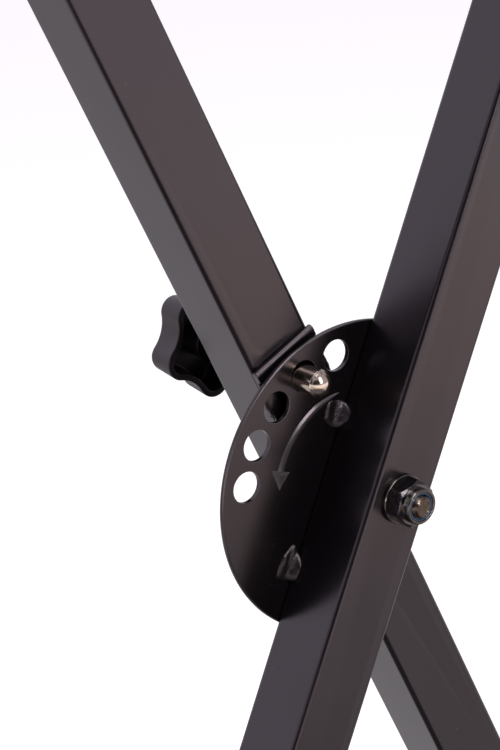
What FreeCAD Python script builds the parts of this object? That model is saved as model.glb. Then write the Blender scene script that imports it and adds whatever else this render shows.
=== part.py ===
import FreeCAD, Part
import math
import os

# Folding X keyboard stand, set to its second hole, in millimetres.
# X runs across the stand, Y from front to back and Z up; the origin is on the floor
# under the pivot. Each leg is drawn upright about the pivot axis, with y already in
# place, and then leaned: x is across the leg, z along it.

V = FreeCAD.Vector
X, Y, Z = V(1, 0, 0), V(0, 1, 0), V(0, 0, 1)
O = V(0, 0, 0)

# Legs: square steel tube
tube_side = 30.0
tube_wall = 1.5
tube_corner = 2.5
leg_reach = 480.0            # pivot axis to crossbar axis, both ways
spread = 50.0                # angle between the legs in the second hole

# Crossbars: round tube, the feet below and the support arms above
bar_diameter = 32.0
bar_wall = 1.5
foot_length = 440.0
arm_length = 370.0

# Saddle between a leg's end and its crossbar, with two bolts
saddle_wall = 3.0
saddle_length = 70.0
saddle_half_angle = 62.0
saddle_corner = 8.0
bar_bolt_diameter = 6.0
bar_bolt_spacing = 50.0
bar_bolt_play = 0.2          # radial
bar_bolt_tail = 2.0          # thread showing past the nut
button_diameter = 10.5
button_height = 3.3
button_flat = 6.0            # diameter of the flat round the socket
button_rim = 0.4
button_bulge = 0.55          # of the crown's arc over its chord
socket_flats = 4.0
socket_depth = 2.2
arc_washer_diameter = 13.0
arc_washer_wall = 1.6
bar_nut_flats = 10.0
bar_nut_height = 6.0
saddle_bead = 2.2            # radius of the weld bead

# Rubber foot caps, arm plugs and grip sleeves
cap_diameter = 48.0
cap_grip = 40.0              # length over the tube
cap_end = 7.0                # solid end
cap_round = 6.0
cap_lip_round = 2.0
cap_flat = 1.0               # depth of the flat sole
cap_groove = 1.2
cap_groove_width = 3.0
cap_grooves = 3
cap_groove_first = 7.5       # from the cap's mouth
plug_flange = 4.0
plug_spigot = 18.0
plug_dome = 2.5
plug_wall = 3.0
plug_lead = 1.0              # chamfer at the spigot's end
plug_play = 0.1
sleeve_diameter = 38.0
sleeve_gap = 13.5            # from the nearer saddle
sleeve_inset = 6.0           # from the arm's end
sleeve_round = 2.5
rubber_play = 0.05

# Locking plate on the rear face of the front leg
plate_thickness = 2.0
plate_radius = 64.0
plate_back = 12.0            # straight edge, hidden behind the leg
plate_edge = 0.4
hole_circle = 52.7           # radius, also the height of the pull pin over the pivot
hole_diameter = 13.0
hole_count = 5
hole_first = 31.1            # degrees from the front leg's axis
hole_pitch = 18.1
tack_high = 23.7             # weld tacks along the leg, measured from the pivot
tack_low = -39.0
tack_radius = 5.6
tack_half_length = 6.5

# Pivot
bolt_diameter = 10.0
bolt_play = 0.08             # radial
bolt_flats = 17.0
bolt_head = 6.4
bolt_tail = 1.0
bolt_chamfer = 0.9
washer_diameter = 20.0
washer_thickness = 2.0
washer_play = 0.25
nut_height = 10.0
nut_hex = 6.6
nut_collar = 14.6
nut_turn = 13.0
nut_ring_outer = 12.6
nut_ring_depth = 2.2
nut_lip = 0.8                # rolled lip over the ring
nut_lip_reach = 0.6
nut_collar_round = 1.4
spacer_thickness = 5.0
spacer_diameter = 28.0
sleeve_tube_diameter = 16.0

# Guide plate for the pull pin, on the front face of the rear leg
guide_thickness = 1.6
guide_width = 31.0
guide_top = 65.5             # along the leg, from the pivot
guide_low = 36.0
guide_hem = 5.0              # folded-over strip at the top
guide_tack = 46.5
guide_tack_radius = 3.4
guide_tack_half_length = 5.5

# Pull pin, its housing and spring
pin_diameter = 10.8
pin_nose = 12.5              # reach of the tip past the locking plate's front
pin_dome = 2.5
pin_edge = 0.4
pin_free = 1.5               # pulled tip to the locking plate's rear
pin_play = 0.08
pin_hole_play = 0.5
stem_diameter = 6.0
housing_diameter = 16.0
housing_flange = 22.0
housing_flange_thickness = 2.0
housing_inside = 4.0         # reach into the tube past the rear wall
housing_outside = 20.0       # reach behind the tube
housing_chamfer = 0.8
pin_shoulder_gap = 14.0      # thick part of the pin to the housing's mouth
housing_end = 4.0
housing_bore = 12.0
spring_wire = 1.1
spring_mean = 9.4
spring_turns = 7.0

# Five-lobed knob
knob_stand = 19.4            # rim to the rear leg's back
knob_depth = 14.8
knob_lobe = 23.3             # radius to a lobe's crest
knob_valley = 18.2           # radius to a hollow
knob_lobe_round = 7.5
knob_lobes = 5
knob_taper = 1.5             # less radius at the closed end
knob_wall = 2.5
knob_top = 3.4
knob_round = 2.2
knob_turn = -10.5
hub_diameter = 15.0
hub_gap = 0.3
insert_flats = 9.0
insert_length = 7.0
stem_cover = 2.0             # knob left over the stem's end

# Shared by the pieces
thread_gap = 0.02
thread_chamfer = 0.6
hex_land = 0.25              # flat ring left inside a hexagon's flats
hex_chamfer = 30.0           # degrees
seam_turn = 40.0             # keeps the seam of a weld tack off the planes that cut it
over = 1.0                   # how far a cutter runs past what it cuts

# Places that follow
bar_r = bar_diameter / 2
saddle_r = bar_r + saddle_wall
leg_gap = plate_thickness + spacer_thickness
front_y = -(leg_gap + tube_side) / 2
rear_y = (leg_gap + tube_side) / 2
front_face = front_y - tube_side / 2
plate_front = front_y + tube_side / 2
plate_rear = plate_front + plate_thickness
rear_face = rear_y - tube_side / 2
rear_back = rear_y + tube_side / 2
lean = spread / 2
sole = cap_diameter / 2 - cap_flat
pivot_height = leg_reach * math.cos(math.radians(lean)) + sole
pin_tip = plate_front - pin_nose
pin_travel = pin_nose + plate_thickness + pin_free
housing_front = rear_back - tube_wall - housing_inside
pin_shoulder = housing_front - pin_shoulder_gap
housing_back = rear_back + housing_outside
spring_seat = housing_back - housing_end
knob_rim = rear_back + knob_stand
hub_front = housing_back + hub_gap
knob_back = knob_rim + knob_depth
stem_end = knob_back - knob_top - stem_cover


def cylinder(diameter, start, end, x=0.0, z=0.0):
    # Round bar along Y from start to end
    return Part.makeCylinder(diameter / 2, end - start, V(x, start, z), Y)


def tube(outer, inner, start, end, x=0.0, z=0.0):
    return cylinder(outer, start, end, x, z).cut(cylinder(inner, start - over, end + over, x, z))


def revolved(points, x=0.0, z=0.0):
    # Solid of revolution about an axis along Y; points are (radius, y), or a pair of
    # them, the middle and the end of an arc
    edges = []
    last = points[0]
    for point in points[1:] + points[:1]:
        if isinstance(point[0], tuple):
            middle, end = point
            edges.append(Part.Arc(V(last[0], last[1]), V(*middle), V(*end)).toShape())
            last = end
        elif point != last:
            edges.append(Part.makeLine(V(last[0], last[1]), V(*point)))
            last = point
    solid = Part.Face(Part.Wire(edges)).revolve(O, Y, 360)
    solid.translate(V(x, 0, z))
    return solid


def quarter_arc(start, end, corner):
    # Middle and end of a quarter circle from start to end, bulging towards corner
    centre = (start[0] + end[0] - corner[0], start[1] + end[1] - corner[1])
    k = math.sqrt(0.5)
    middle = (centre[0] + (corner[0] - centre[0]) * k, centre[1] + (corner[1] - centre[1]) * k)
    return (middle, end)


def dome(radius, start, tip):
    # Middle and end of the arc of a spherical cap, from its rim to its tip on the axis
    height = tip - start
    ball = (radius ** 2 + height ** 2) / (2 * height)
    half = radius / 2
    drop = abs(ball) - math.sqrt(ball ** 2 - half ** 2)
    return ((half, tip - math.copysign(drop, height)), (0, tip))


def rounded_square(side, corner, y, start, end):
    # Square bar with round corners along Z
    half = side / 2
    bar = Part.makeBox(side, side, end - start, V(-half, y - half, start))
    if corner <= 0:
        return bar
    upright = [edge for edge in bar.Edges if abs(edge.tangentAt(edge.FirstParameter).z) > 0.9]
    return bar.makeFillet(corner, upright)


def hexagon(flats, start, end, turn=0.0):
    # Hexagonal bar along Y
    radius = flats / math.sqrt(3)
    angles = [math.radians(turn + 60 * i) for i in range(7)]
    ring = [V(radius * math.sin(a), start, radius * math.cos(a)) for a in angles]
    return Part.Face(Part.makePolygon(ring)).extrude(V(0, end - start, 0))


def chamfered_hexagon(flats, start, end, turn=0.0):
    # Corners cut back by a cone at the end away from the seat, which is at start
    sign = 1 if end > start else -1
    corner = flats / math.sqrt(3)
    land = flats / 2 - hex_land
    drop = (corner - land) * math.tan(math.radians(hex_chamfer))
    cone = revolved([(0, start), (corner, start), (corner, end - sign * drop), (land, end), (0, end)])
    return hexagon(flats, start, end, turn).common(cone)


def along_z(shape, z):
    # Turns a fastener drawn along Y, head at y = 0, to point from z towards the pivot
    shape = shape.copy()
    shape.rotate(O, X, 90 if z < 0 else -90)
    shape.translate(V(0, 0, z))
    return shape


def tack(radius, half_length, corner, within, around):
    # Lump of weld along Z with round ends, filling a corner between solids
    run = half_length - radius
    lump = Part.makeCylinder(radius, 2 * run, V(0, 0, -run))
    for end in (-run, run):
        lump = lump.fuse(Part.makeSphere(radius, V(0, 0, end)))
    lump.rotate(O, Z, seam_turn)
    lump.translate(corner)
    lump = lump.common(within)
    for solid in around:
        lump = lump.cut(solid)
    return lump.Solids[0]


def bar_axis(end):
    # End is -1 at the floor and 1 at the top
    return end * leg_reach


def bolt_places(y):
    return [y - bar_bolt_spacing / 2, y + bar_bolt_spacing / 2]


def leg_tube(y):
    inside = tube_side - 2 * tube_wall
    leg = rounded_square(tube_side, tube_corner, y, -leg_reach, leg_reach)
    leg = leg.cut(rounded_square(inside, tube_corner - tube_wall, y, -leg_reach - over, leg_reach + over))
    for end in (-1, 1):
        leg = leg.cut(cylinder(2 * saddle_r, y - tube_side, y + tube_side, 0, bar_axis(end)))
    return leg.cut(cylinder(sleeve_tube_diameter, y - tube_side, y + tube_side))


def leg_sleeve(y, start, end):
    # Crush tube through the leg, in which the pivot bolt runs
    return tube(sleeve_tube_diameter, bolt_diameter + 2 * bolt_play, start, end)


def saddle(y, end):
    # Part of a ring round the crossbar, on the side that faces the pivot
    axis = bar_axis(end)
    start, stop = y - saddle_length / 2, y + saddle_length / 2
    reach = saddle_r * math.tan(math.radians(saddle_half_angle)) + saddle_r
    side = saddle_r * math.sin(math.radians(saddle_half_angle))
    depth = saddle_r * math.cos(math.radians(saddle_half_angle))
    ring = tube(2 * saddle_r, bar_diameter, start, stop, 0, axis)
    wedge = Part.Face(Part.makePolygon([
        V(0, start, axis), V(-side * 2, start, axis - end * depth * 2), V(0, start, axis - end * reach * 2),
        V(side * 2, start, axis - end * depth * 2), V(0, start, axis)])).extrude(V(0, stop - start, 0))
    trough = ring.common(wedge)
    corners = [edge for edge in trough.Edges
               if edge.Length < saddle_wall * 1.01 and abs(edge.tangentAt(edge.FirstParameter).y) < 0.1]
    trough = trough.makeFillet(saddle_corner, corners)
    for place in bolt_places(y):
        trough = trough.cut(bolt_hole(place, axis))
    return trough


def bolt_hole(y, axis):
    diameter = bar_bolt_diameter + 2 * bar_bolt_play
    return Part.makeCylinder(diameter / 2, 4 * saddle_r, V(0, y, axis - 2 * saddle_r), Z)


def crossbar(length, y, end):
    bar = tube(bar_diameter, bar_diameter - 2 * bar_wall, -length / 2, length / 2, 0, bar_axis(end))
    for place in bolt_places(y):
        bar = bar.cut(bolt_hole(place, bar_axis(end)))
    return bar


def saddle_welds(y):
    # Beads in the corner between the leg's sides and the saddles
    beads = []
    drop = math.sqrt(saddle_r ** 2 - (tube_side / 2) ** 2)
    start, stop = y - tube_side / 2 + tube_corner, y + tube_side / 2 - tube_corner
    solid_leg = rounded_square(tube_side, tube_corner, y, -leg_reach, leg_reach)
    for end in (-1, 1):
        ring = cylinder(2 * saddle_r, start - over, stop + over, 0, bar_axis(end))
        for side in (-1, 1):
            bar = cylinder(2 * saddle_bead, start, stop, side * tube_side / 2, end * (leg_reach - drop))
            beads.append(bar.cut(ring).cut(solid_leg).Solids[0])
    return Part.makeCompound(beads)


def button_bolt():
    # Button-head bolt along +Y, seat at y = 0, with a hexagon socket
    head_r, shank_r = button_diameter / 2, bar_bolt_diameter / 2
    flat_r = button_flat / 2
    seat_depth = arc_washer_wall + bar_diameter + saddle_wall + arc_washer_wall
    shank_end = seat_depth + bar_nut_height + bar_bolt_tail
    crown = ((head_r + flat_r) / 2 + button_bulge, -(button_height + button_rim) / 2 - button_bulge)
    bolt = revolved([(0, -button_height), (flat_r, -button_height), (crown, (head_r, -button_rim)), (head_r, 0),
                     (shank_r, 0), (shank_r, shank_end - thread_chamfer),
                     (shank_r - thread_chamfer, shank_end), (0, shank_end)])
    return bolt.cut(hexagon(socket_flats, -button_height - over, socket_depth - button_height))


def bar_bolts(y, leg_end):
    seat = leg_end * (leg_reach + bar_r + arc_washer_wall)
    bolts = []
    for place in bolt_places(y):
        bolt = along_z(button_bolt(), seat)
        bolt.translate(V(0, place, 0))
        bolts.append(bolt)
    return bolts


def bar_nuts(y, end):
    seat = leg_reach - saddle_r - arc_washer_wall
    nut = chamfered_hexagon(bar_nut_flats, 0, bar_nut_height)
    nut = nut.cut(cylinder(bar_bolt_diameter + 2 * thread_gap, -over, bar_nut_height + over))
    nuts = []
    for place in bolt_places(y):
        copy = along_z(nut, end * seat)
        copy.translate(V(0, place, 0))
        nuts.append(copy)
    return nuts


def arc_washers(y, end):
    # Flat on one side and hollowed to the crossbar or the saddle on the other
    washers = []
    axis = bar_axis(end)
    for place in bolt_places(y):
        for radius, way in ((bar_r, end), (saddle_r, -end)):
            outer = axis + way * (radius + arc_washer_wall)
            height = radius - math.sqrt(radius ** 2 - arc_washer_diameter ** 2 / 4) + arc_washer_wall
            blank = Part.makeCylinder(arc_washer_diameter / 2, height, V(0, place, outer), Z * -way)
            blank = blank.cut(cylinder(2 * radius, place - radius, place + radius, 0, axis))
            blank = blank.cut(bolt_hole(place, axis))
            washers.append(blank.Solids[0])
    return washers


def foot_caps(lean_sign):
    # Rubber caps over the foot bar's ends, with the flat sole on the floor
    x = -lean_sign * leg_reach * math.sin(math.radians(lean))
    z = sole
    caps = []
    for end in (-1, 1):
        outer, inner = cap_diameter / 2, bar_r + rubber_play
        mouth = foot_length / 2 - cap_grip
        bottom = foot_length / 2
        tip = bottom + cap_end
        small = cap_lip_round
        points = [(inner, mouth), (outer - small, mouth),
                  quarter_arc((outer - small, mouth), (outer, mouth + small), (outer, mouth)),
                  (outer, tip - cap_round),
                  quarter_arc((outer, tip - cap_round), (outer - cap_round, tip), (outer, tip)),
                  (0, tip), (0, bottom), (inner, bottom)]
        cap = revolved(points)
        for i in range(cap_grooves):
            middle = mouth + cap_groove_first + 2 * cap_groove_width * i
            ring = tube(cap_diameter + over, cap_diameter - 2 * cap_groove,
                        middle - cap_groove_width / 2, middle + cap_groove_width / 2)
            cap = cap.cut(ring)
        if end < 0:
            cap.rotate(O, Z, 180)
        cap.translate(V(x, 0, z))
        below = Part.makeBox(cap_diameter, 2 * foot_length, cap_diameter,
                             V(x - outer, -foot_length, -cap_diameter))
        caps.append(cap.cut(below))
    return Part.makeCompound(caps)


def arm_plugs():
    # Plastic plugs in the arm's ends
    outer, spigot = bar_r, bar_r - bar_wall - plug_play
    face = arm_length / 2
    tip = face + plug_flange
    start = face - plug_spigot
    edge = tip - plug_dome
    plug = revolved([(0, start), (spigot - plug_lead, start), (spigot, start + 2 * plug_lead),
                     (spigot, face), (outer, face), (outer, edge), dome(outer, edge, tip)])
    plug = plug.cut(cylinder(2 * (spigot - plug_wall), start - over, edge - plug_wall))
    plug.translate(V(0, 0, bar_axis(1)))
    other = plug.copy()
    other.rotate(O, Z, 180)
    return Part.makeCompound([plug, other])


def grip_sleeves():
    # Rubber sleeves near the arm's ends, where the keyboard lies
    outer, inner = sleeve_diameter / 2, bar_r + rubber_play
    start = rear_y + saddle_length / 2 + sleeve_gap
    stop = arm_length / 2 - sleeve_inset
    r = sleeve_round
    sleeve = revolved([(inner, start), (outer - r, start),
                       quarter_arc((outer - r, start), (outer, start + r), (outer, start)),
                       (outer, stop - r),
                       quarter_arc((outer, stop - r), (outer - r, stop), (outer, stop)), (inner, stop)])
    sleeve.translate(V(0, 0, bar_axis(1)))
    other = sleeve.copy()
    other.rotate(O, Z, 180)
    return Part.makeCompound([sleeve, other])


def lock_plate():
    # Half disc with five holes, punched round the pivot
    disc = cylinder(2 * plate_radius, plate_front, plate_rear)
    behind = Part.makeBox(2 * plate_radius, 4 * plate_thickness, 4 * plate_radius,
                          V(plate_back, plate_front - plate_thickness, -2 * plate_radius))
    plate = disc.cut(behind)
    for i in range(hole_count):
        angle = math.radians(-hole_first - hole_pitch * i)
        x, z = hole_circle * math.sin(angle), hole_circle * math.cos(angle)
        plate = plate.cut(cylinder(hole_diameter, plate_front - over, plate_rear + over, x, z))
    rims = [edge for edge in plate.Edges if edge.Curve.TypeId == "Part::GeomCircle"]
    plate = plate.makeChamfer(plate_edge, rims)
    return plate.cut(cylinder(sleeve_tube_diameter, plate_front - over, plate_rear + over))


def plate_welds(leg_solid):
    # Big tacks between the plate and the leg's side, and small ones at the straight edge
    tacks = []
    size = 2 * tube_side
    half = tube_side / 2
    before = Part.makeBox(size, size, 2 * leg_reach, V(-half - size / 2, plate_front - size, -leg_reach))
    beside = Part.makeBox(size, size, 2 * leg_reach, V(plate_back, plate_front, -leg_reach))
    for z in (tack_high, tack_low):
        for x, radius, within in ((-half, tack_radius, before), (plate_back, plate_thickness, beside)):
            tacks.append(tack(radius, tack_half_length, V(x, plate_front, z), within, (leg_solid,)))
    return Part.makeCompound(tacks)


def pin_guide():
    # Pressed strip whose top edge is folded over to the front
    back, front = rear_face, rear_face - guide_thickness
    lip = rear_face - 2 * guide_thickness
    fold = guide_top - guide_thickness
    half = guide_width / 2
    hem_low = guide_top - guide_hem
    outline = [(back, guide_low), (back, fold), (front, guide_top), (lip, fold),
               (lip, hem_low), (front, hem_low), (front, guide_low)]
    points = [V(-half, y, z) for y, z in outline]
    edges = [Part.makeLine(points[0], points[1]), Part.Arc(*points[1:4]).toShape()]
    edges += [Part.makeLine(a, b) for a, b in zip(points[3:], points[4:] + points[:1])]
    strip = Part.Face(Part.Wire(edges)).extrude(V(guide_width, 0, 0))
    return strip.cut(cylinder(pin_diameter + 2 * pin_play, front - over, back + over, 0, hole_circle))


def guide_welds(leg_solid, guide):
    # One tack on each side, between the strip's edge and the leg's side
    tacks = []
    half, size = tube_side / 2, tube_side
    for side in (-1, 1):
        low = V(half if side > 0 else -half - size, rear_face - guide_thickness, 0)
        within = Part.makeBox(size, size, leg_reach, low)
        corner = V(side * half, rear_face, guide_tack)
        tacks.append(tack(guide_tack_radius, guide_tack_half_length, corner, within, (leg_solid, guide)))
    return Part.makeCompound(tacks)


def pivot_bolt():
    head_seat = rear_back + washer_thickness
    tail = front_face - washer_thickness - nut_height - bolt_tail
    r = bolt_diameter / 2
    edge = tail + bolt_chamfer
    shank = revolved([(0, tail), (r - bolt_chamfer, tail), (r, edge), (r, head_seat), (0, head_seat)])
    return shank.fuse(chamfered_hexagon(bolt_flats, head_seat, head_seat + bolt_head)).removeSplitter()


def pivot_nut():
    # Self-locking nut: hexagon, then a rolled collar over the lock ring
    seat = front_face - washer_thickness
    hex_end = seat - nut_hex
    end = seat - nut_height
    outer = nut_collar / 2
    ring = nut_ring_outer / 2
    mouth = ring - nut_lip_reach
    r = nut_collar_round
    collar = revolved([(0, hex_end), (outer, hex_end), (outer, end + r),
                       quarter_arc((outer, end + r), (outer - r, end), (outer, end)), (0, end)])
    nut = chamfered_hexagon(bolt_flats, seat, hex_end, nut_turn).fuse(collar).removeSplitter()
    front, back = end + nut_lip, end + nut_lip + nut_ring_depth
    pocket = revolved([(0, back), (ring, back), (ring, front), (mouth, front),
                       (mouth, end - over), (0, end - over)])
    bore = cylinder(bolt_diameter + 2 * thread_gap, end - over, seat + over)
    return nut.cut(pocket).cut(bore)


def lock_ring():
    front = front_face - washer_thickness - nut_height + nut_lip
    return tube(nut_ring_outer - 2 * thread_gap, bolt_diameter + 2 * thread_gap, front, front + nut_ring_depth)


def pivot_washers():
    inner = bolt_diameter + 2 * washer_play
    front = tube(washer_diameter, inner, front_face - washer_thickness, front_face)
    rear = tube(washer_diameter, inner, rear_back, rear_back + washer_thickness)
    return Part.makeCompound([front, rear])


def pivot_spacer():
    return tube(spacer_diameter, bolt_diameter + 2 * washer_play, plate_rear, rear_face)


def pin_housing():
    # Flanged bush through the leg's rear wall; the spring lies in its wide bore
    r, bore, stem = housing_diameter / 2, housing_bore / 2, stem_diameter / 2 + pin_play
    flange = housing_flange / 2
    flange_back = rear_back + housing_flange_thickness
    c = housing_chamfer
    return revolved([(bore, housing_front), (r, housing_front), (r, rear_back), (flange, rear_back),
                     (flange, flange_back - c), (flange - c, flange_back), (r, flange_back),
                     (r, housing_back - c), (r - c, housing_back), (stem, housing_back), (stem, spring_seat),
                     (bore, spring_seat)], 0, hole_circle)


def lock_pin():
    r, stem = pin_diameter / 2, stem_diameter / 2
    rim = pin_tip + pin_dome
    tail = stem_end - thread_chamfer
    return revolved([(0, stem_end), (stem - thread_chamfer, stem_end), (stem, tail), (stem, pin_shoulder),
                     (r, pin_shoulder), (r, rim + pin_edge), (r - pin_edge, rim),
                     dome(r - pin_edge, rim, pin_tip)], 0, hole_circle)


def pull_spring():
    # Coil between the pin's shoulder and the end of the housing
    radius = spring_mean / 2
    start, stop = pin_shoulder + spring_wire / 2, spring_seat - spring_wire / 2
    length = stop - start
    helix = Part.makeHelix(length / spring_turns, length, radius)
    profile = Part.Wire([Part.makeCircle(spring_wire / 2, V(radius, 0, 0), Y)])
    coil = Part.Wire(helix).makePipeShell([profile], True, True)
    coil.rotate(O, X, -90)
    coil.translate(V(0, start, hole_circle))
    gaps = [run / spring_turns - spring_wire for run in (length, length - pin_travel)]
    print("pull_spring: %.2f mm between turns at rest, %.2f mm pulled" % tuple(gaps))
    return coil


def star(crest, valley, lobe_round, y):
    # Closed outline of round lobes joined by tangent hollows
    step = math.pi / knob_lobes
    lobe_centre = crest - lobe_round
    # hollow radius h solves |lobe centre - hollow centre| = lobe_round + h
    c, k = lobe_centre, math.cos(step)
    h = (c * c + valley * valley - 2 * c * valley * k - lobe_round ** 2) / (2 * (lobe_round + c * k - valley))
    hollow_centre = valley + h

    def at(radius, angle):
        return V(radius * math.sin(angle), y, radius * math.cos(angle))

    edges = []
    for i in range(knob_lobes):
        middle = math.radians(knob_turn) + 2 * step * i
        lobe = at(lobe_centre, middle)
        before, after = at(hollow_centre, middle - step), at(hollow_centre, middle + step)
        joint = lobe + (before - lobe).normalize() * lobe_round
        joint_after = lobe + (after - lobe).normalize() * lobe_round
        next_lobe = at(lobe_centre, middle + 2 * step)
        joint_next = next_lobe + (after - next_lobe).normalize() * lobe_round
        edges.append(Part.Arc(joint, at(crest, middle), joint_after).toShape())
        edges.append(Part.Arc(joint_after, at(valley, middle + step), joint_next).toShape())
    return Part.Wire(edges)


def star_body(inset, start, end):
    # Tapered star between two heights, drawn in from the knob's outside by inset
    def wire(y):
        less = inset + knob_taper * (y - knob_rim) / knob_depth
        return star(knob_lobe - less, knob_valley - less, knob_lobe_round - less, y)
    return Part.makeLoft([wire(start), wire(end)], True, True)


def pull_knob():
    outside = star_body(0, knob_rim, knob_back)
    edges = [edge for edge in outside.Edges if abs(edge.BoundBox.YMin - knob_back) < 0.01]
    outside = outside.makeFillet(knob_round, edges)
    hollow = star_body(knob_wall, knob_rim, knob_back - knob_top)
    hub = cylinder(hub_diameter, hub_front, knob_back - knob_top / 2)
    knob = outside.cut(hollow).fuse(hub).removeSplitter()
    knob = knob.cut(cylinder(stem_diameter + 2 * thread_gap, hub_front - over, stem_end))
    knob = knob.cut(hexagon(insert_flats, hub_front - over, hub_front + insert_length))
    knob.translate(V(0, 0, hole_circle))
    return knob


def knob_insert():
    nut = hexagon(insert_flats, hub_front, hub_front + insert_length)
    nut = nut.cut(cylinder(stem_diameter + 2 * thread_gap, hub_front - over, hub_front + insert_length + over))
    nut.translate(V(0, 0, hole_circle))
    return nut


def build():
    leaned = {}
    nodes = {}
    for name, y, sign in (("front", front_y, 1), ("rear", rear_y, -1)):
        parts = {
            name + "_leg": leg_tube(y),
            name + "_foot_saddle": saddle(y, -1),
            name + "_arm_saddle": saddle(y, 1),
            name + "_saddle_welds": saddle_welds(y),
            name + "_foot_bar": crossbar(foot_length, y, -1),
            name + "_arm_bar": crossbar(arm_length, y, 1),
            name + "_arm_plugs": arm_plugs(),
            name + "_grip_sleeves": grip_sleeves(),
            name + "_bar_bolts": Part.makeCompound(bar_bolts(y, -1) + bar_bolts(y, 1)),
            name + "_bar_nuts": Part.makeCompound(bar_nuts(y, -1) + bar_nuts(y, 1)),
            name + "_arc_washers": Part.makeCompound(arc_washers(y, -1) + arc_washers(y, 1)),
        }
        leaned.update({key: (shape, sign) for key, shape in parts.items()})
        nodes[name + "_foot_caps"] = foot_caps(sign)

    front_solid = rounded_square(tube_side, tube_corner, front_y, -leg_reach, leg_reach)
    rear_solid = rounded_square(tube_side, tube_corner, rear_y, -leg_reach, leg_reach)
    guide = pin_guide()
    pin_way = cylinder(pin_diameter + 2 * pin_hole_play, rear_face - over, rear_y, 0, hole_circle)
    housing_way = cylinder(housing_diameter, rear_y, rear_back + over, 0, hole_circle)
    rear_leg = leaned["rear_leg"][0].cut(pin_way).cut(housing_way)
    for name, shape, sign in (
            ("front_leg_sleeve", leg_sleeve(front_y, front_face, plate_rear), 1),
            ("lock_plate", lock_plate(), 1),
            ("lock_plate_welds", plate_welds(front_solid), 1),
            ("rear_leg", rear_leg, -1),
            ("rear_leg_sleeve", leg_sleeve(rear_y, rear_face, rear_back), -1),
            ("pin_guide", guide, -1),
            ("pin_guide_welds", guide_welds(rear_solid, guide), -1),
            ("pin_housing", pin_housing(), -1),
            ("lock_pin", lock_pin(), -1),
            ("pull_spring", pull_spring(), -1),
            ("pull_knob", pull_knob(), -1),
            ("knob_insert", knob_insert(), -1)):
        leaned[name] = (shape, sign)

    for name, (shape, sign) in leaned.items():
        shape.rotate(O, Y, sign * lean)
        shape.translate(V(0, 0, pivot_height))
        nodes[name] = shape
    for name, shape in (("pivot_bolt", pivot_bolt()), ("pivot_nut", pivot_nut()),
                        ("nut_lock_ring", lock_ring()), ("pivot_washers", pivot_washers()),
                        ("pivot_spacer", pivot_spacer())):
        shape.translate(V(0, 0, pivot_height))
        nodes[name] = shape
    return nodes


os.makedirs("parts", exist_ok=True)
for name, shape in build().items():
    solids = shape.Solids
    print("%-22s %2d solids %10.1f mm3 valid %s" % (name, len(solids), shape.Volume, shape.isValid()))
    shape.exportStep("parts/%s.step" % name)
print("pivot height %.3f" % pivot_height)
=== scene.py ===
import bmesh
import bpy
import numpy as np
from mathutils import Matrix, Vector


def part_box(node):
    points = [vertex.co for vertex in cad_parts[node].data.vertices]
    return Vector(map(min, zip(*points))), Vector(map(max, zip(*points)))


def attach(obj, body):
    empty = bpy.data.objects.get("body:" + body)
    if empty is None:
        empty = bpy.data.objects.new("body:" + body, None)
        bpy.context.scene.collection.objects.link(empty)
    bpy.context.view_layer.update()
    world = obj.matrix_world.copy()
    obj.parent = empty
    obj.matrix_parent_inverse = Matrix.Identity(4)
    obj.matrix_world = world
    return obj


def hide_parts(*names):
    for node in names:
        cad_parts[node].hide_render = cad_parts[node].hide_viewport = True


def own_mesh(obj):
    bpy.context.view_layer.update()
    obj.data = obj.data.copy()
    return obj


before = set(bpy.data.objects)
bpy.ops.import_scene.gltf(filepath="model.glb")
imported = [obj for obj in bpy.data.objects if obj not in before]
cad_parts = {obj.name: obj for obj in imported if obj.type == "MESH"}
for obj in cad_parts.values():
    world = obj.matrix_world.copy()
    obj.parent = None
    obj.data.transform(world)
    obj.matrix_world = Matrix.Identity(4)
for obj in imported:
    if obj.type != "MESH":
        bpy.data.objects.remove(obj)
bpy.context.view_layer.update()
print("stand loaded")

# Pieces are drawn in millimetres on an upright leg: x across it, y front to back and z along it from
# the pivot. A leg's side is 1 for the front one, -1 for the rear one and 0 for what stands at the pivot.


def span(node):                      # lowest and highest corner of a CAD node, in millimetres
    low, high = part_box(node)
    return np.array(low) * 1000, np.array(high) * 1000


def yRange(node):
    low, high = span(node)
    return low[1], high[1]


spacerLow, spacerHigh = span("pivot_spacer")
barLow, barHigh = span("rear_foot_bar")
pinLow, pinHigh = span("lock_pin")
frontLow, frontHigh = yRange("front_leg")
rearLow, rearHigh = yRange("rear_leg")
plateFront, plateRear = yRange("lock_plate")
pivotZ = (spacerLow[2] + spacerHigh[2]) / 2
footX, footZ = (barLow[0] + barHigh[0]) / 2, (barLow[2] + barHigh[2]) / 2
pinX, pinZ = (pinLow[0] + pinHigh[0]) / 2, (pinLow[2] + pinHigh[2]) / 2 - pivotZ
lean = np.arctan2(footX, pivotZ - footZ)
legReach = np.hypot(footX, pivotZ - footZ)
pinReach = np.hypot(pinX, pinZ)
tubeHalf = (frontHigh - frontLow) / 2
frontY, rearY = (frontLow + frontHigh) / 2, (rearLow + rearHigh) / 2
barRadius = (barHigh[2] - barLow[2]) / 2
sides = ((1, "front", "front_frame", frontY), (-1, "rear", "rear_frame", rearY))


def join(*parts):                    # coordinates, broadcast against each other, as one array of points
    return np.stack(np.broadcast_arrays(*parts), -1)


def around(radius, angle):
    return join(radius * np.sin(angle), radius * np.cos(angle))


def fullTurn(count):
    return np.linspace(0, 2 * np.pi, count, endpoint=False)


def toStand(points, side):           # turned about Y by the leg's lean and lifted to the pivot, in metres
    x, y, z = points[..., 0], points[..., 1], points[..., 2]
    c, s = np.cos(side * lean), np.sin(side * lean)
    return join(x * c + z * s, y, z * c - x * s + pivotZ) / 1000


# Shapes

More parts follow.
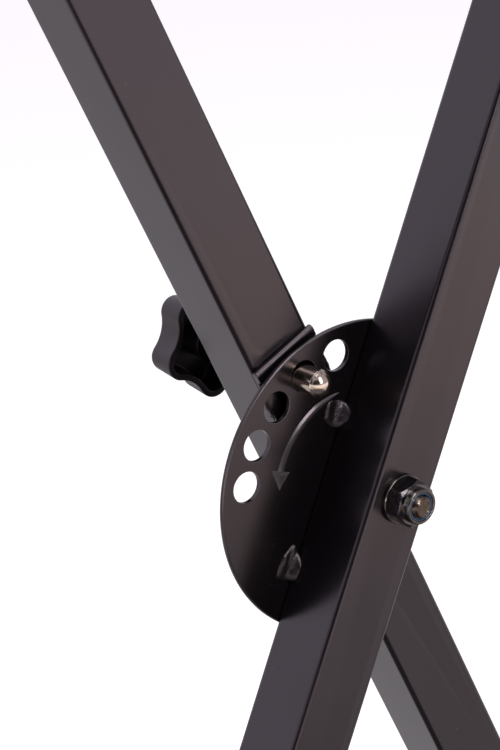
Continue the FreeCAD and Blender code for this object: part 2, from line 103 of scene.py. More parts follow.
def rounded(corners, radii, steps=6, closed=False):
    # A polyline whose corners are arcs of the given radii, each held by a point a little outside it
    corners = np.array(corners, float)
    out = []
    for i, corner in enumerate(corners):
        radius = radii[i]
        if radius == 0 or (not closed and i in (0, len(corners) - 1)):
            out.append(corner[None])
            continue
        back, ahead = corners[i - 1] - corner, corners[(i + 1) % len(corners)] - corner
        room = min(np.linalg.norm(back), np.linalg.norm(ahead)) * 0.49
        back, ahead = back / np.linalg.norm(back), ahead / np.linalg.norm(ahead)
        half = np.arccos(np.clip(back @ ahead, -1, 1)) / 2
        radius = min(radius, room * np.tan(half))
        reach = radius / np.tan(half)
        middle = (back + ahead) / np.linalg.norm(back + ahead)
        centre = corner + middle * radius / np.sin(half)
        a, b = corner + back * reach - centre, corner + ahead * reach - centre
        first = np.arctan2(a[1], a[0])
        turn = (np.arctan2(b[1], b[0]) - first + np.pi) % (2 * np.pi) - np.pi
        t = first + turn * np.linspace(0, 1, steps + 1)
        arc = centre + radius * join(np.cos(t), np.sin(t))
        hold = min(0.25 * radius, room - reach) if room > reach else 0
        if hold > 1e-6:
            arc = np.concatenate([[arc[0] + back * hold], arc, [arc[-1] + ahead * hold]])
        out.append(arc)
    return np.concatenate(out)


def loopNormals(loop):               # at each point the outward unit normal, across its neighbours' chord
    along = np.roll(loop, -1, 0) - np.roll(loop, 1, 0)
    normal = join(along[:, 1], -along[:, 0])
    normal /= np.linalg.norm(normal, axis=1, keepdims=True)
    area = np.sum(loop[:, 0] * np.roll(loop[:, 1], -1) - loop[:, 1] * np.roll(loop[:, 0], -1))
    return normal * np.sign(area)


def grid(points, wrapRows=False, wrapCols=True):
    rows, cols = points.shape[:2]
    r = np.arange(rows if wrapRows else rows - 1)[:, None]
    c = np.arange(cols if wrapCols else cols - 1)[None, :]
    nextR, nextC = (r + 1) % rows, (c + 1) % cols
    faces = join(r * cols + c, r * cols + nextC, nextR * cols + nextC, nextR * cols + c)
    return points.reshape(-1, 3), faces.reshape(-1, 4)


def turned(profile, x=0.0, z=0.0, count=96, closed=False, radiusAt=None, start=0.0):
    # A profile of (radius, y) turned about an axis along Y; radiusAt may change the radius over the turn
    angle = np.radians(start) + fullTurn(count)[None]
    radius, y = profile[:, :1] + 0 * angle, profile[:, 1:2] + 0 * angle
    if radiusAt is not None:
        radius = radiusAt(radius, y, angle)
    return grid(join(x + radius * np.sin(angle), y, z + radius * np.cos(angle)), closed)


def ring(inner, outer, start, stop, edge, x=0.0, z=0.0, count=96):
    # A tube or washer: a rectangle with rounded corners, turned
    corners = [(inner, start), (outer, start), (outer, stop), (inner, stop)]
    return turned(rounded(corners, [edge] * 4, 4, True), x, z, count, True)


def rod(radius, start, stop, z=0.0):
    return turned(np.array([(0, start), (radius, start), (radius, stop), (0, stop)]), 0, z, 64)


def carried(loop, profile, place):
    # A profile of (outset, height) carried round a loop: each point moves along the loop's normal
    flat = loop[None] + loopNormals(loop)[None] * profile[:, None, :1]
    return grid(place(flat[..., 0], flat[..., 1], profile[:, 1:2]))


def filled(loops, place, height):    # flat triangles within the first loop, less the others
    work = bmesh.new()
    for loop in loops:
        corners = [work.verts.new((x, z, 0)) for x, z in loop]
        for one, two in zip(corners, corners[1:] + corners[:1]):
            work.edges.new((one, two))
    bmesh.ops.triangle_fill(work, edges=work.edges, use_beauty=True, normal=(0, 0, 1))
    work.verts.index_update()
    corners = np.array([vert.co for vert in work.verts])
    faces = np.array([[vert.index for vert in face.verts] for face in work.faces])
    work.free()
    return place(corners[:, 0], corners[:, 1], height), faces


def mesh(name, surfaces, side, sharp=40.0):
    points, faces, start = [], [], 0
    for surfacePoints, surfaceFaces in surfaces:
        points.append(toStand(surfacePoints, side))
        faces += (surfaceFaces + start).tolist()
        start += len(surfacePoints)
    data = bpy.data.meshes.new(name)
    data.from_pydata(np.concatenate(points).tolist(), [], faces)
    work = bmesh.new()
    work.from_mesh(data)
    bmesh.ops.remove_doubles(work, verts=work.verts, dist=2e-6)
    bmesh.ops.recalc_face_normals(work, faces=work.faces)
    work.to_mesh(data)
    work.free()
    data.shade_smooth()
    data.set_sharp_from_angle(angle=np.radians(sharp))
    return data


def linked(name, data):
    thing = bpy.data.objects.new(name, data)
    bpy.context.collection.objects.link(thing)
    return thing


def cutAway(thing, surface, side):   # takes a closed form out of a piece
    cutter = linked("cutter", mesh("cutter", [surface], side))
    step = thing.modifiers.new("hole", "BOOLEAN")
    step.object, step.operation, step.solver = cutter, "DIFFERENCE", "EXACT"
    solid = bpy.data.meshes.new_from_object(thing.evaluated_get(bpy.context.evaluated_depsgraph_get()))
    thing.modifiers.clear()
    thing.data = solid
    bpy.data.objects.remove(cutter)


def piece(name, surfaces, side, finish, body, node=None, sharp=40.0, cuts=()):
    thing = linked(name, mesh(name, surfaces, side, sharp))
    for cut in cuts:
        cutAway(thing, cut, side)
    if cuts:
        thing.data.set_sharp_from_angle(angle=np.radians(sharp))
    even = thing.modifiers.new("evenNormals", "WEIGHTED_NORMAL")  # flat faces stay flat beside their edges
    even.keep_sharp = True
    thing.data.materials.clear()
    thing.data.materials.append(finishes[finish][0])
    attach(thing, body)
    if node:
        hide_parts(node)
    return thing


# Finishes

def add(tree, kind, source, **settings):
    # One shader node with its properties; source holds its inputs, as values or as other nodes' outputs
    node = tree.nodes.new("ShaderNode" + kind)
    for key, value in settings.items():
        setattr(node, key, value)
    for socket, value in source.items():
        if hasattr(value, "links"):
            tree.links.new(value, node.inputs[socket])
        else:
            node.inputs[socket].default_value = value
    return node


def maths(tree, operation, *values):
    return add(tree, "Math", dict(enumerate(values)), operation=operation).outputs[0]


def remap(tree, value, low, high, toLow=0.0, toHigh=1.0, **settings):
    source = {"Value": value, "From Min": low, "From Max": high, "To Min": toLow, "To Max": toHigh}
    return add(tree, "MapRange", source, **settings).outputs[0]


def blend(tree, share, one, two):    # from colour one to colour two
    one, two = (tone + (1,) if isinstance(tone, tuple) else tone for tone in (one, two))
    return add(tree, "Mix", {0: share, 6: one, 7: two}, data_type="RGBA").outputs[2]


def nodeGroup(name, inputs, outputs):
    group = bpy.data.node_groups.new(name, "ShaderNodeTree")
    for label in inputs:
        kind = "NodeSocketVector" if label == "Vector" else "NodeSocketFloat"
        group.interface.new_socket(label, in_out="INPUT", socket_type=kind)
    for label in outputs:
        group.interface.new_socket(label, in_out="OUTPUT", socket_type="NodeSocketFloat")
    return group, group.nodes.new("NodeGroupInput").outputs, group.nodes.new("NodeGroupOutput").inputs


def grainGroup():
    # Unevenness of a coat or a moulding: a fine noise as height and a wide one as a mask
    group, given, result = nodeGroup("surfaceGrain", ("Vector", "Fine Scale", "Wide Scale"), ("Height", "Cloud"))
    for scale, detail, output in (("Fine Scale", 2.0, "Height"), ("Wide Scale", 4.0, "Cloud")):
        noise = add(group, "TexNoise", {"Vector": given["Vector"], "Detail": detail, "Scale": given[scale]})
        group.links.new(noise.outputs["Fac"], result[output])
    return group


def speckGroup():
    # Dust and paint nibs: the middles of Voronoi cells, thinned out by a second mask
    group, given, result = nodeGroup("dustSpecks", ("Vector", "Scale", "Size", "Share"), ("Mask",))
    cells = add(group, "TexVoronoi", {"Vector": given["Vector"], "Scale": given["Scale"]})
    pick = add(group, "SeparateColor", {"Color": cells.outputs["Color"]})
    near = maths(group, "LESS_THAN", cells.outputs["Distance"], given["Size"])
    few = maths(group, "LESS_THAN", pick.outputs["Red"], given["Share"])
    group.links.new(maths(group, "MULTIPLY", near, few), result["Mask"])
    return group


wearAndSheenForm = {"edgeFrom": 0.53, "cornerFrom": 0.485, "cornerTo": 0.44, "uneven": 0.05}


def wearAndSheenGroup():
    # Edges made lighter, as rubbed-bare wear and on the locking plate as a painted highlight, and concave corners
    # made darker, from how sharply the surface bends
    group, given, result = nodeGroup("edgeWearAndSheen", ("Grain", "Reach"), ("Edge", "Corner"))
    form = wearAndSheenForm
    bend = add(group, "NewGeometry", {})
    rough = maths(group, "MULTIPLY_ADD", given["Grain"], form["uneven"], -form["uneven"] / 2)
    uneven = maths(group, "ADD", bend.outputs["Pointiness"], rough)
    top = maths(group, "ADD", form["edgeFrom"], given["Reach"])
    group.links.new(remap(group, uneven, form["edgeFrom"], top), result["Edge"])
    group.links.new(remap(group, uneven, form["cornerFrom"], form["cornerTo"]), result["Corner"])
    return group


groups = {"grain": grainGroup(), "specks": speckGroup(), "wearAndSheen": wearAndSheenGroup()}


def useGroup(tree, name, **inputs):
    node = tree.nodes.new("ShaderNodeGroup")
    node.node_tree = groups[name]
    for label, value in inputs.items():
        socket = node.inputs[label.replace("Scale", " Scale").strip()]
        if hasattr(value, "links"):
            tree.links.new(value, socket)
        else:
            socket.default_value = value
    return node.outputs


def finishOf(name, look):
    # The piece's colour, clouded, lighter at its edges (wear, and on the locking plate a painted highlight),
    # darker in concave corners, and dusted; grain goes to the bump
    material = bpy.data.materials.new(name)
    material.use_nodes = True
    tree, links = material.node_tree, material.node_tree.links
    shader = tree.nodes["Principled BSDF"]
    point = add(tree, "TexCoord", {}).outputs["Object"]
    grain = useGroup(tree, "grain", Vector=point, FineScale=look["grain"], WideScale=look["clouds"])
    wearAndSheen = useGroup(tree, "wearAndSheen", Grain=grain["Cloud"], Reach=look["wearAndSheen"])
    specks = useGroup(tree, "specks", Vector=point, Share=look["speckShare"], Size=look["speckSize"],
                      Scale=look["speckScale"])
    tone = blend(tree, grain["Cloud"], look["color"], look["cloud"])
    for mask, wearAndSheenTone in ((wearAndSheen["Edge"], look["edge"]), (wearAndSheen["Corner"], look["corner"]), (specks["Mask"], dust)):
        tone = blend(tree, mask, tone, wearAndSheenTone)
    links.new(tone, shader.inputs["Base Color"])
    links.new(remap(tree, grain["Cloud"], 0.3, 0.7, *look["rough"]), shader.inputs["Roughness"])
    bump = add(tree, "Bump", {"Height": grain["Height"], "Strength": look["bump"], "Distance": look["depth"]})
    links.new(bump.outputs[0], shader.inputs["Normal"])
    shader.inputs["Metallic"].default_value = look["metallic"]
    shader.inputs["IOR"].default_value = look["ior"]
    shader.inputs["Specular Tint"].default_value = look["gloss"] + (1,)
    return material


black = (0.0022, 0.0018, 0.0023)
dust = (0.22, 0.20, 0.20)
purple = (1.0, 0.84, 0.95)           # what a coat's gloss is tinted with
plain = {"metallic": 0.0, "ior": 1.5, "gloss": (1.0, 1.0, 1.0), "wearAndSheen": 0.06, "speckShare": 0.0,
         "speckSize": 0.05, "speckScale": 160.0}
metal = {**plain, "metallic": 1.0, "grain": 1500.0}
paint = {**plain, "slot": "paint", "color": black, "cloud": (0.003, 0.0025, 0.003), "edge": (0.012, 0.010, 0.011),
         "corner": (0.001, 0.001, 0.001), "rough": (0.20, 0.26), "bump": 0.22, "depth": 0.00006, "grain": 1100.0,
         "clouds": 30.0, "ior": 1.56, "gloss": purple, "speckShare": 0.12, "speckSize": 0.035,
         "speckScale": 230.0}
looks = {
    # the light edge colour on the locking plate's rim and hole edges is a painted highlight, partly edge wear
    "plateSheenPaint": {**paint, "edge": (0.15, 0.14, 0.145), "wearAndSheen": 0.03},
    "rubbedPaint": {**paint, "color": (0.006, 0.0053, 0.006), "cloud": (0.012, 0.0108, 0.0115),
                    "edge": (0.05, 0.046, 0.048), "ior": 1.6, "speckShare": 0.0},
    "paint": paint,
    "weld": {**paint, "cloud": (0.012, 0.010, 0.011), "edge": (0.02, 0.018, 0.02), "rough": (0.24, 0.36),
             "bump": 0.6, "depth": 0.0003, "grain": 650.0, "clouds": 160.0, "ior": 1.42, "speckShare": 0.2,
             "speckSize": 0.05, "speckScale": 160.0},
    "zinc": {**metal, "slot": "zinc", "color": (0.50, 0.49, 0.49), "cloud": (0.36, 0.34, 0.33),
             "edge": (0.7, 0.69, 0.68), "corner": (0.12, 0.11, 0.11), "rough": (0.2, 0.34), "bump": 0.3,
             "depth": 0.00008, "clouds": 220.0},
    "nickel": {**metal, "slot": "nickel", "color": (0.62, 0.54, 0.47), "cloud": (0.48, 0.39, 0.32),
               "edge": (0.8, 0.75, 0.68), "corner": (0.3, 0.27, 0.23), "rough": (0.09, 0.2), "bump": 0.12,
               "depth": 0.00006, "grain": 1400.0, "clouds": 260.0},
    "blackZinc": {**metal, "slot": "black_steel", "color": (0.028, 0.024, 0.03), "cloud": (0.10, 0.09, 0.098),
                  "edge": (0.34, 0.31, 0.31), "corner": (0.012, 0.01, 0.012), "rough": (0.12, 0.26), "bump": 0.8,
                  "depth": 0.00012, "grain": 700.0, "clouds": 520.0, "speckShare": 0.02, "wearAndSheen": 0.1},
    "rubbedZinc": {**metal, "slot": "black_steel", "color": (0.035, 0.031, 0.032), "cloud": (0.15, 0.135, 0.124),
                   "edge": (0.5, 0.47, 0.45), "corner": (0.03, 0.026, 0.026), "rough": (0.14, 0.28), "bump": 0.5,
                   "depth": 0.0001, "grain": 900.0, "clouds": 520.0, "speckShare": 0.02, "wearAndSheen": 0.1},
    "wornSteel": {**metal, "slot": "black_steel", "color": (0.035, 0.027, 0.023), "cloud": (0.15, 0.115, 0.095),
                  "edge": (0.6, 0.56, 0.53), "corner": (0.05, 0.04, 0.036), "rough": (0.2, 0.36), "bump": 0.4,
                  "depth": 0.00007, "clouds": 520.0, "wearAndSheen": 0.08},
    "oxide": {**metal, "slot": "black_steel", "color": (0.02, 0.02, 0.021), "cloud": (0.03, 0.029, 0.028),
              "metallic": 0.7, "edge": (0.12, 0.12, 0.12), "corner": (0.01, 0.01, 0.01), "rough": (0.3, 0.42),
              "bump": 0.3, "depth": 0.00008, "grain": 1300.0, "clouds": 150.0, "speckShare": 0.02},
    "plastic": {**plain, "slot": "plastic", "color": (0.005, 0.0045, 0.0055), "cloud": (0.007, 0.0063, 0.0075),
                "edge": (0.02, 0.019, 0.021), "corner": (0.003, 0.003, 0.003), "rough": (0.42, 0.52), "bump": 0.4,
                "depth": 0.00009, "grain": 1900.0, "clouds": 60.0, "ior": 1.52, "gloss": purple,
                "speckShare": 0.04, "speckSize": 0.04, "speckScale": 230.0},
    "rubber": {**plain, "slot": "rubber", "color": (0.010, 0.010, 0.010), "cloud": (0.016, 0.0155, 0.0155),
               "edge": (0.04, 0.039, 0.038), "corner": (0.005, 0.005, 0.005), "rough": (0.55, 0.72), "bump": 0.5,
               "depth": 0.00015, "grain": 1600.0, "clouds": 50.0, "speckShare": 0.12, "speckSize": 0.04},
    "nylon": {**plain, "slot": "nylon", "color": (0.003, 0.014, 0.045), "cloud": (0.01, 0.055, 0.14),
              "edge": (0.03, 0.12, 0.24), "corner": (0.003, 0.012, 0.04), "rough": (0.25, 0.35), "bump": 0.2,
              "depth": 0.00005, "grain": 1500.0, "clouds": 200.0},
    "brass": {**metal, "slot": "brass", "color": (0.6, 0.43, 0.2), "cloud": (0.45, 0.31, 0.15),
              "edge": (0.8, 0.62, 0.34), "corner": (0.2, 0.13, 0.06), "rough": (0.25, 0.4), "bump": 0.2,
              "depth": 0.00006, "clouds": 200.0},
}
finishes = {name: (finishOf(name, look), look["slot"]) for name, look in looks.items()}
print("finishes mixed")


# Legs

legForm = {"corner": 1.9, "wall": 1.5, "saddle": 19.0, "sleeve": 8.0, "pinWay": 5.9, "housing": 8.0, "past": 20.0}


def legTube(y):
    # A rounded square carried along the leg, outside up and inside down; both ends follow the saddle's
    # round, |z| = reach - sqrt(R2 - x2)
    def wall(half, corner):
        loop = rounded([(-half, -half), (half, -half), (half, half), (-half, half)], [corner] * 4, 8, True)
        end = legReach - np.sqrt(legForm["saddle"] ** 2 - loop[:, 0] ** 2)
        share = np.array([-1, -0.995, -0.5, 0, 0.5, 0.995, 1])[:, None]
        return join(loop[:, 0], y + loop[:, 1], share * end[None])

    outside = wall(tubeHalf, legForm["corner"])
    inside = wall(tubeHalf - legForm["wall"], legForm["corner"] - legForm["wall"])
    return grid(np.concatenate([outside, inside[::-1]]), True)


for side, first, body, y in sides:
    front, back = y - legForm["past"], y + legForm["past"]
    cuts = [rod(legForm["sleeve"], front, back)]
    if side < 0:
        cuts += [rod(legForm["pinWay"], front, y, pinReach), rod(legForm["housing"], y, back, pinReach)]
    piece(first + "Leg", [legTube(y)], side, "paint", body, first + "_leg", cuts=cuts)
print("legs drawn")


# Crossbars and what is on them

barForm = {"wall": 1.5, "edge": 0.3, "count": 128}
capForm = {"radius": 24.0, "mouth": 40.0, "end": 7.0, "round": 6.0, "lip": 2.0, "groove": 1.2, "grooveWidth": 3.0,
           "grooveFirst": 7.5, "grooveEdge": 0.5, "grooves": 3, "play": 0.05}
plugForm = {"flange": 4.0, "spigot": 18.0, "dome": 2.5, "wall": 3.0, "play": 0.1}
gripForm = {"radius": 19.0, "gap": 13.5, "inset": 6.0, "round": 2.5, "edge": 0.3, "play": 0.05}
saddleForm = {"wall": 3.0, "length": 70.0, "halfAngle": 62.0, "corner": 8.0, "edge": 0.4}


def domeArc(radius, start, tip, steps=10):
    # A spherical cap from its rim to its tip, as (radius, y)
    height = abs(tip - start)
    ball = (radius ** 2 + height ** 2) / (2 * height)
    t = np.linspace(np.arcsin(radius / ball), 0, steps + 1)
    return join(ball * np.sin(t), tip - np.sign(tip - start) * (ball - ball * np.cos(t)))


def footCap(half, way):
    # A cup over the bar's end with its grooves, turned and then cut flat by the floor
    form = capForm
    outer, inner = form["radius"], barRadius + form["play"]
    mouth, tip = half - form["mouth"], half + form["end"]
    corners, radii = [(0, half), (inner, half), (inner, mouth), (outer, mouth)], [0, 1.0, 0.4, form["lip"]]
    for i in range(form["grooves"]):
        middle = mouth + form["grooveFirst"] + 2 * form["grooveWidth"] * i
        low, high = middle - form["grooveWidth"] / 2, middle + form["grooveWidth"] / 2
        deep = outer - form["groove"]
        corners += [(outer, low), (deep, low), (deep, high), (outer, high)]
        radii += [form["grooveEdge"]] * 4
    profile = rounded(corners + [(outer, tip), (0, tip)], radii + [form["round"], 0], 5)
    return turned(profile * [1, way], count=160)


def armPlug(half, way):
    # A hollow spigot in the bar, a flange over its end and a domed face
    form = plugForm
    outer = barRadius - barForm["wall"] - form["play"]
    rim = half + form["flange"] - form["dome"]
    inner, floor, start = outer - form["wall"], rim - form["wall"], half - form["spigot"]
    wall = rounded([(0, floor), (inner, floor), (inner, start), (outer, start), (outer, half), (barRadius, half),
                    (barRadius, rim)], [0, 1, 0.4, 1, 0.2, 0.3, 0], 4)
    profile = np.concatenate([wall, domeArc(barRadius, rim, rim + form["dome"])[1:]])
    return turned(profile * [1, way], 0, legReach)


def gripSleeve(half, way):
    form = gripForm
    start, stop = rearY + saddleForm["length"] / 2 + form["gap"], half - form["inset"]
    inner, outer = barRadius + form["play"], form["radius"]
    corners = [(inner, start), (outer, start), (outer, stop), (inner, stop)]
    profile = rounded(corners, [form["edge"], form["round"], form["round"], form["edge"]], 8, True)
    return turned(profile * [1, way], 0, legReach, 128, True)


for side, first, body, y in sides:
    for end, kind in ((-1, "foot"), (1, "arm")):
        node = "%s_%s_bar" % (first, kind)
        tube = ring(barRadius - barForm["wall"], barRadius, *yRange(node), barForm["edge"], 0, end * legReach,
                    barForm["count"])
        piece(first + kind.capitalize() + "Bar", [tube], side, "paint", body, node)
    caps = []
    for way in (-1, 1):
        points, faces = footCap(yRange(first + "_foot_bar")[1], way)
        points = points + np.array([-side * footX, 0, footZ - pivotZ])
        points[:, 2] = np.maximum(points[:, 2], -pivotZ)
        caps.append((points, faces))
    piece(first + "FootCaps", caps, 0, "rubber", body, first + "_foot_caps", 30.0)
    half = yRange(first + "_arm_bar")[1]
    plugs, grips = [armPlug(half, way) for way in (-1, 1)], [gripSleeve(half, way) for way in (-1, 1)]
    piece(first + "ArmPlugs", plugs, side, "plastic", body, first + "_arm_plugs")
    piece(first + "GripSleeves", grips, side, "rubber", body, first + "_grip_sleeves")
print("crossbars drawn")


# Saddles and their fasteners

boltForm = {"spacing": 50.0, "radius": 3.0, "head": 5.25, "crown": 3.3, "flat": 3.0, "rim": 0.4, "socket": 4.0,
            "socketDepth": 2.2, "washer": 6.5, "washerWall": 1.6, "washerEdge": 0.25, "nutFlats": 10.0,
            "nut": 6.0, "land": 0.25, "tail": 2.0, "thread": 12.0, "pitch": 1.0, "threadDepth": 0.35,
            "chamfer": 0.6, "hole": 3.2, "play": 0.02}
beadForm = {"half": 12.5, "radius": 2.2, "out": 0.1, "up": 0.2, "ripples": 14}
hexSlope = np.tan(np.radians(30))    # of the cones that cut a hexagon's corners back


def saddle(y, end):
    # Part of a ring on the pivot's side of the crossbar; near its ends the angle shrinks by a quarter round
    form, count = saddleForm, 33
    inner, outer = barRadius, barRadius + form["wall"]
    corner, edge = form["corner"], form["edge"]
    t = np.sin(np.linspace(0, np.pi / 2, 9))
    straight = form["length"] / 2 - corner
    along = np.concatenate([-straight - corner * t[::-1], [0], straight + corner * t])
    past = np.maximum(np.abs(along) - straight, 0)
    reach = np.radians(form["halfAngle"]) - (corner - np.sqrt(np.maximum(corner ** 2 - past ** 2, 0))) / outer
    share = np.linspace(-1, 1, count)
    radius = np.concatenate([np.full(count, inner), np.full(count, outer)])
    radius[[0, count - 1]] += edge
    radius[[count, -1]] -= edge
    angle = np.concatenate([share, share[::-1]])[None] * reach[:, None]

    def row(radius, angle, along):
        return join(radius * np.sin(angle), y + along, end * (legReach - radius * np.cos(angle)))

    middle = (inner + outer) / 2     # where the ring's two ends draw together
    ends = [row(middle, angle[place], along[place])[None] for place in (0, -1)]
    return grid(np.concatenate([ends[0], row(radius, angle, along[:, None]), ends[1]]))


def hexRadius(flats, angle, turn=0.0):
    # Distance to a hexagon's side in a direction; corners at turn plus multiples of 60 degrees
    step = np.pi / 3
    return flats / 2 / np.cos((angle - np.radians(turn)) % step - step / 2)


def coned(flats, land, depthAt, turn=0.0):
    # Where a profile lies outside a hexagon, its radius becomes min(hexagon, land + depth / tan 30)
    def radiusAt(radius, y, angle):
        cone = land + depthAt(y) / hexSlope
        return np.where(radius > flats / np.sqrt(3), np.minimum(hexRadius(flats, angle, turn), cone), radius)

    return radiusAt


def beyond(flats, y):                # heights as a profile that lies outside the hexagon, for coned()
    return join(flats / np.sqrt(3) + 1, y)


def laid(surface, y, base, way):     # a fastener drawn along Y laid along the leg, from base
    points, faces = surface
    return join(points[:, 0], y + points[:, 2], base + way * points[:, 1]), faces


def barNut():
    flats, height, bore = boltForm["nutFlats"], boltForm["nut"], boltForm["radius"] + boltForm["play"]
    land, lead = flats / 2 - boltForm["land"], 0.5
    t = np.linspace(0, 1, 9) ** 1.3 * (flats / np.sqrt(3) - land) * hexSlope * 1.1
    inner = [(bore + lead, height), (bore, height - lead), (bore, lead), (bore + lead, 0)]
    profile = np.concatenate([beyond(flats, np.concatenate([t, height - t[::-1]])), inner])
    return turned(profile, 0, 0, 96, True, coned(flats, land, lambda y: np.minimum(y, height - y)))


def threaded(radius, start, stop, pitch, depth, chamfer, count=48, slope=1.0):
    # A bolt's end: the radius falls by a rounded V that climbs one pitch each turn, and by the chamfer
    rows = int(abs(stop - start) / pitch * 8)
    way = np.sign(stop - start)
    profile = np.concatenate([[(0, start)], join(radius, np.linspace(start, stop, rows))])

    def radiusAt(r, y, angle):
        wave = np.abs(((y * way / pitch + angle / (2 * np.pi)) % 1) * 2 - 1)
        end = np.maximum(chamfer - (stop - y) * way, 0) * slope
        return np.where(r > 0, r - np.maximum(depth * (1 - wave) ** 0.8, end), 0)

    tip = radius - chamfer * slope
    cap = np.array([(tip * share, stop) for share in (1, 0.95, 0.75, 0.5, 0.25, 0)])
    points, faces = turned(profile, 0, 0, count, False, radiusAt)
    capPoints, capFaces = turned(cap, 0, 0, count)
    return np.concatenate([points, capPoints]), np.concatenate([faces, capFaces + len(points)])


def buttonBolt():
    # Head with a round crown and a hexagon socket, a plain shank and a threaded end
    form, key = boltForm, boltForm["socket"] / 2
    crown = np.linspace(0, np.pi / 2, 9)
    head = join(form["flat"] + (form["head"] - form["flat"]) * np.sin(crown),
                -form["rim"] - (form["crown"] - form["rim"]) * np.cos(crown))
    top = -form["crown"]
    deep = top + form["socketDepth"]
    seat = 2 * form["washerWall"] + 2 * barRadius + saddleForm["wall"]
    stop = seat + form["nut"] + form["tail"]
    plain = stop - form["thread"]
    socket = [(0, deep + 0.4), (1.5, deep), (key, deep), (key, top + 0.25), (key + 0.3, top)]
    rest = [(form["head"], 0), (form["radius"], 0), (form["radius"], plain), (0, plain)]

    def radiusAt(radius, y, angle):
        inHole = (radius > key - 0.1) & (radius < key + 0.4) & (y < deep + 0.01)
        return np.where(inHole, hexRadius(form["socket"], angle) * radius / key, radius)

    return [turned(np.concatenate([socket, head, rest]), 0, 0, 72, False, radiusAt),
            threaded(form["radius"], plain, stop, form["pitch"], form["threadDepth"], form["chamfer"])]


def curvedWasher(y, end, radius, way):
    # A disc whose seat follows the round tube under it and whose other face is flat
    form, edge = boltForm, boltForm["washerEdge"]
    rho = np.array([form["hole"], form["washer"], form["washer"], form["washer"] - edge, form["hole"]])[:, None]
    flat = around(rho, fullTurn(64)[None])
    top = radius + form["washerWall"]
    height = np.where(np.arange(5)[:, None] < 2, np.sqrt(radius ** 2 - flat[..., 0] ** 2), top)
    height[2] = top - edge
    return grid(join(flat[..., 0], y + flat[..., 1], end * legReach + way * height), True)


def wobble(seed, count):             # phases and sizes of a few random waves, for lumps
    rng = np.random.default_rng(seed)
    return rng.uniform(0, 2 * np.pi, count), rng.uniform(0.5, 1.0, count)


def bead(y, x, z, seed):
    # A weld bead: a round bar along Y whose radius ripples with the puddles and whose ends close
    form = beadForm
    t = np.linspace(0, 1, 61)[:, None]
    angle = fullTurn(24)[None]
    phase, size = wobble(seed, 3)
    ripple = 1 + 0.07 * np.cos(t * 2 * np.pi * form["ripples"] + phase[0]) \
        + 0.08 * size[1] * np.sin(t * 21 + phase[1] + angle)
    r = form["radius"] * ripple * np.sqrt(np.clip(1 - (2 * t - 1) ** 10, 0, 1))
    return grid(join(x + r * np.sin(angle), y - form["half"] + 2 * form["half"] * t, z + r * np.cos(angle)))


outer = barRadius + saddleForm["wall"]
beadDrop = np.sqrt(outer ** 2 - tubeHalf ** 2) + beadForm["up"]
for side, first, body, y in sides:
    bolts, nuts, washers, beads = [], [], [], []
    for end, kind in ((-1, "foot"), (1, "arm")):
        piece(first + kind.capitalize() + "Saddle", [saddle(y, end)], side, "paint", body,
              "%s_%s_saddle" % (first, kind), 30.0)
        headSeat = end * (legReach + barRadius + boltForm["washerWall"])
        nutSeat = end * (legReach - outer - boltForm["washerWall"])
        for place in (y - boltForm["spacing"] / 2, y + boltForm["spacing"] / 2):
            bolts += [laid(part, place, headSeat, -end) for part in buttonBolt()]
            nuts.append(laid(barNut(), place, nutSeat, -end))
            washers += [curvedWasher(place, end, barRadius, end), curvedWasher(place, end, outer, -end)]
        for across in (-1, 1):
            x, z = across * (tubeHalf + beadForm["out"]), end * (legReach - beadDrop)
            beads.append(bead(y, x, z, 5 + 3 * end + across))
    piece(first + "BarBolts", bolts, side, "oxide", body, first + "_bar_bolts")
    piece(first + "BarNuts", nuts, side, "oxide", body, first + "_bar_nuts", 25.0)
    piece(first + "ArcWashers", washers, side, "oxide", body, first + "_arc_washers")
    piece(first + "SaddleWelds", beads, side, "weld", body, first + "_saddle_welds", 60.0)
print("saddles and fasteners drawn")


# Locking plate

plateForm = {"radius": 64.0, "back": 12.0, "edge": 0.7, "edgeSteps": 3, "hole": 6.3, "holeEdge": 0.2,
             "holeSteps": 2, "first": 31.1, "pitch": 18.1, "holes": 5, "bore": 8.0}
hold = 3                             # edges are held by a point this many edge radii from them


def onPlate(x, z, y):
    return join(x, y, z)


def edgeProfile(edge, inward, steps):
    # From a held point on the front face round the edge to a held point on the rear face
    corners = [(-hold * edge, plateFront), (0, plateFront), (0, plateRear), (-hold * edge, plateRear)]
    return rounded(corners, [0, edge, edge, 0], steps) * [inward, 1]


def lockPlate():
    form = plateForm
    angle = np.arccos(form["back"] / form["radius"])
    t = np.linspace(angle, 2 * np.pi - angle, 200)
    arc = form["radius"] * join(np.cos(t), np.sin(t))
    outline = np.concatenate([arc, [(form["back"], arc[-1, 1] + 3), (form["back"], arc[0, 1] - 3)]])
    turns = np.radians(-form["first"] - form["pitch"] * np.arange(form["holes"]))
    surfaces = [carried(outline, edgeProfile(form["edge"], 1, form["edgeSteps"]), onPlate)]
    inner = [outline - loopNormals(outline) * hold * form["edge"]]
    holes = [(centre, form["hole"]) for centre in around(pinReach, turns)] + [(np.zeros(2), form["bore"])]
    for centre, radius in holes:
        loop = centre + around(radius, fullTurn(64))
        surfaces.append(carried(loop, edgeProfile(form["holeEdge"], -1, form["holeSteps"]), onPlate))
        inner.append(loop + loopNormals(loop) * hold * form["holeEdge"])
    return surfaces + [filled(inner, onPlate, height) for height in (plateFront, plateRear)]


# its light rim and hole edges are a painted highlight, partly edge wear
piece("lockPlate", lockPlate(), 1, "plateSheenPaint", "front_frame", "lock_plate")

arrowForm = {"middle": 37.0, "half": 1.5, "from": -7.0, "to": -70.5, "thin": 0.3, "headInner": 32.3,
             "headOuter": 41.8, "tip": -82.8, "tipRadius": 36.2, "height": 0.62, "slope": 0.95, "sink": 0.05,
             "over": 0.02}


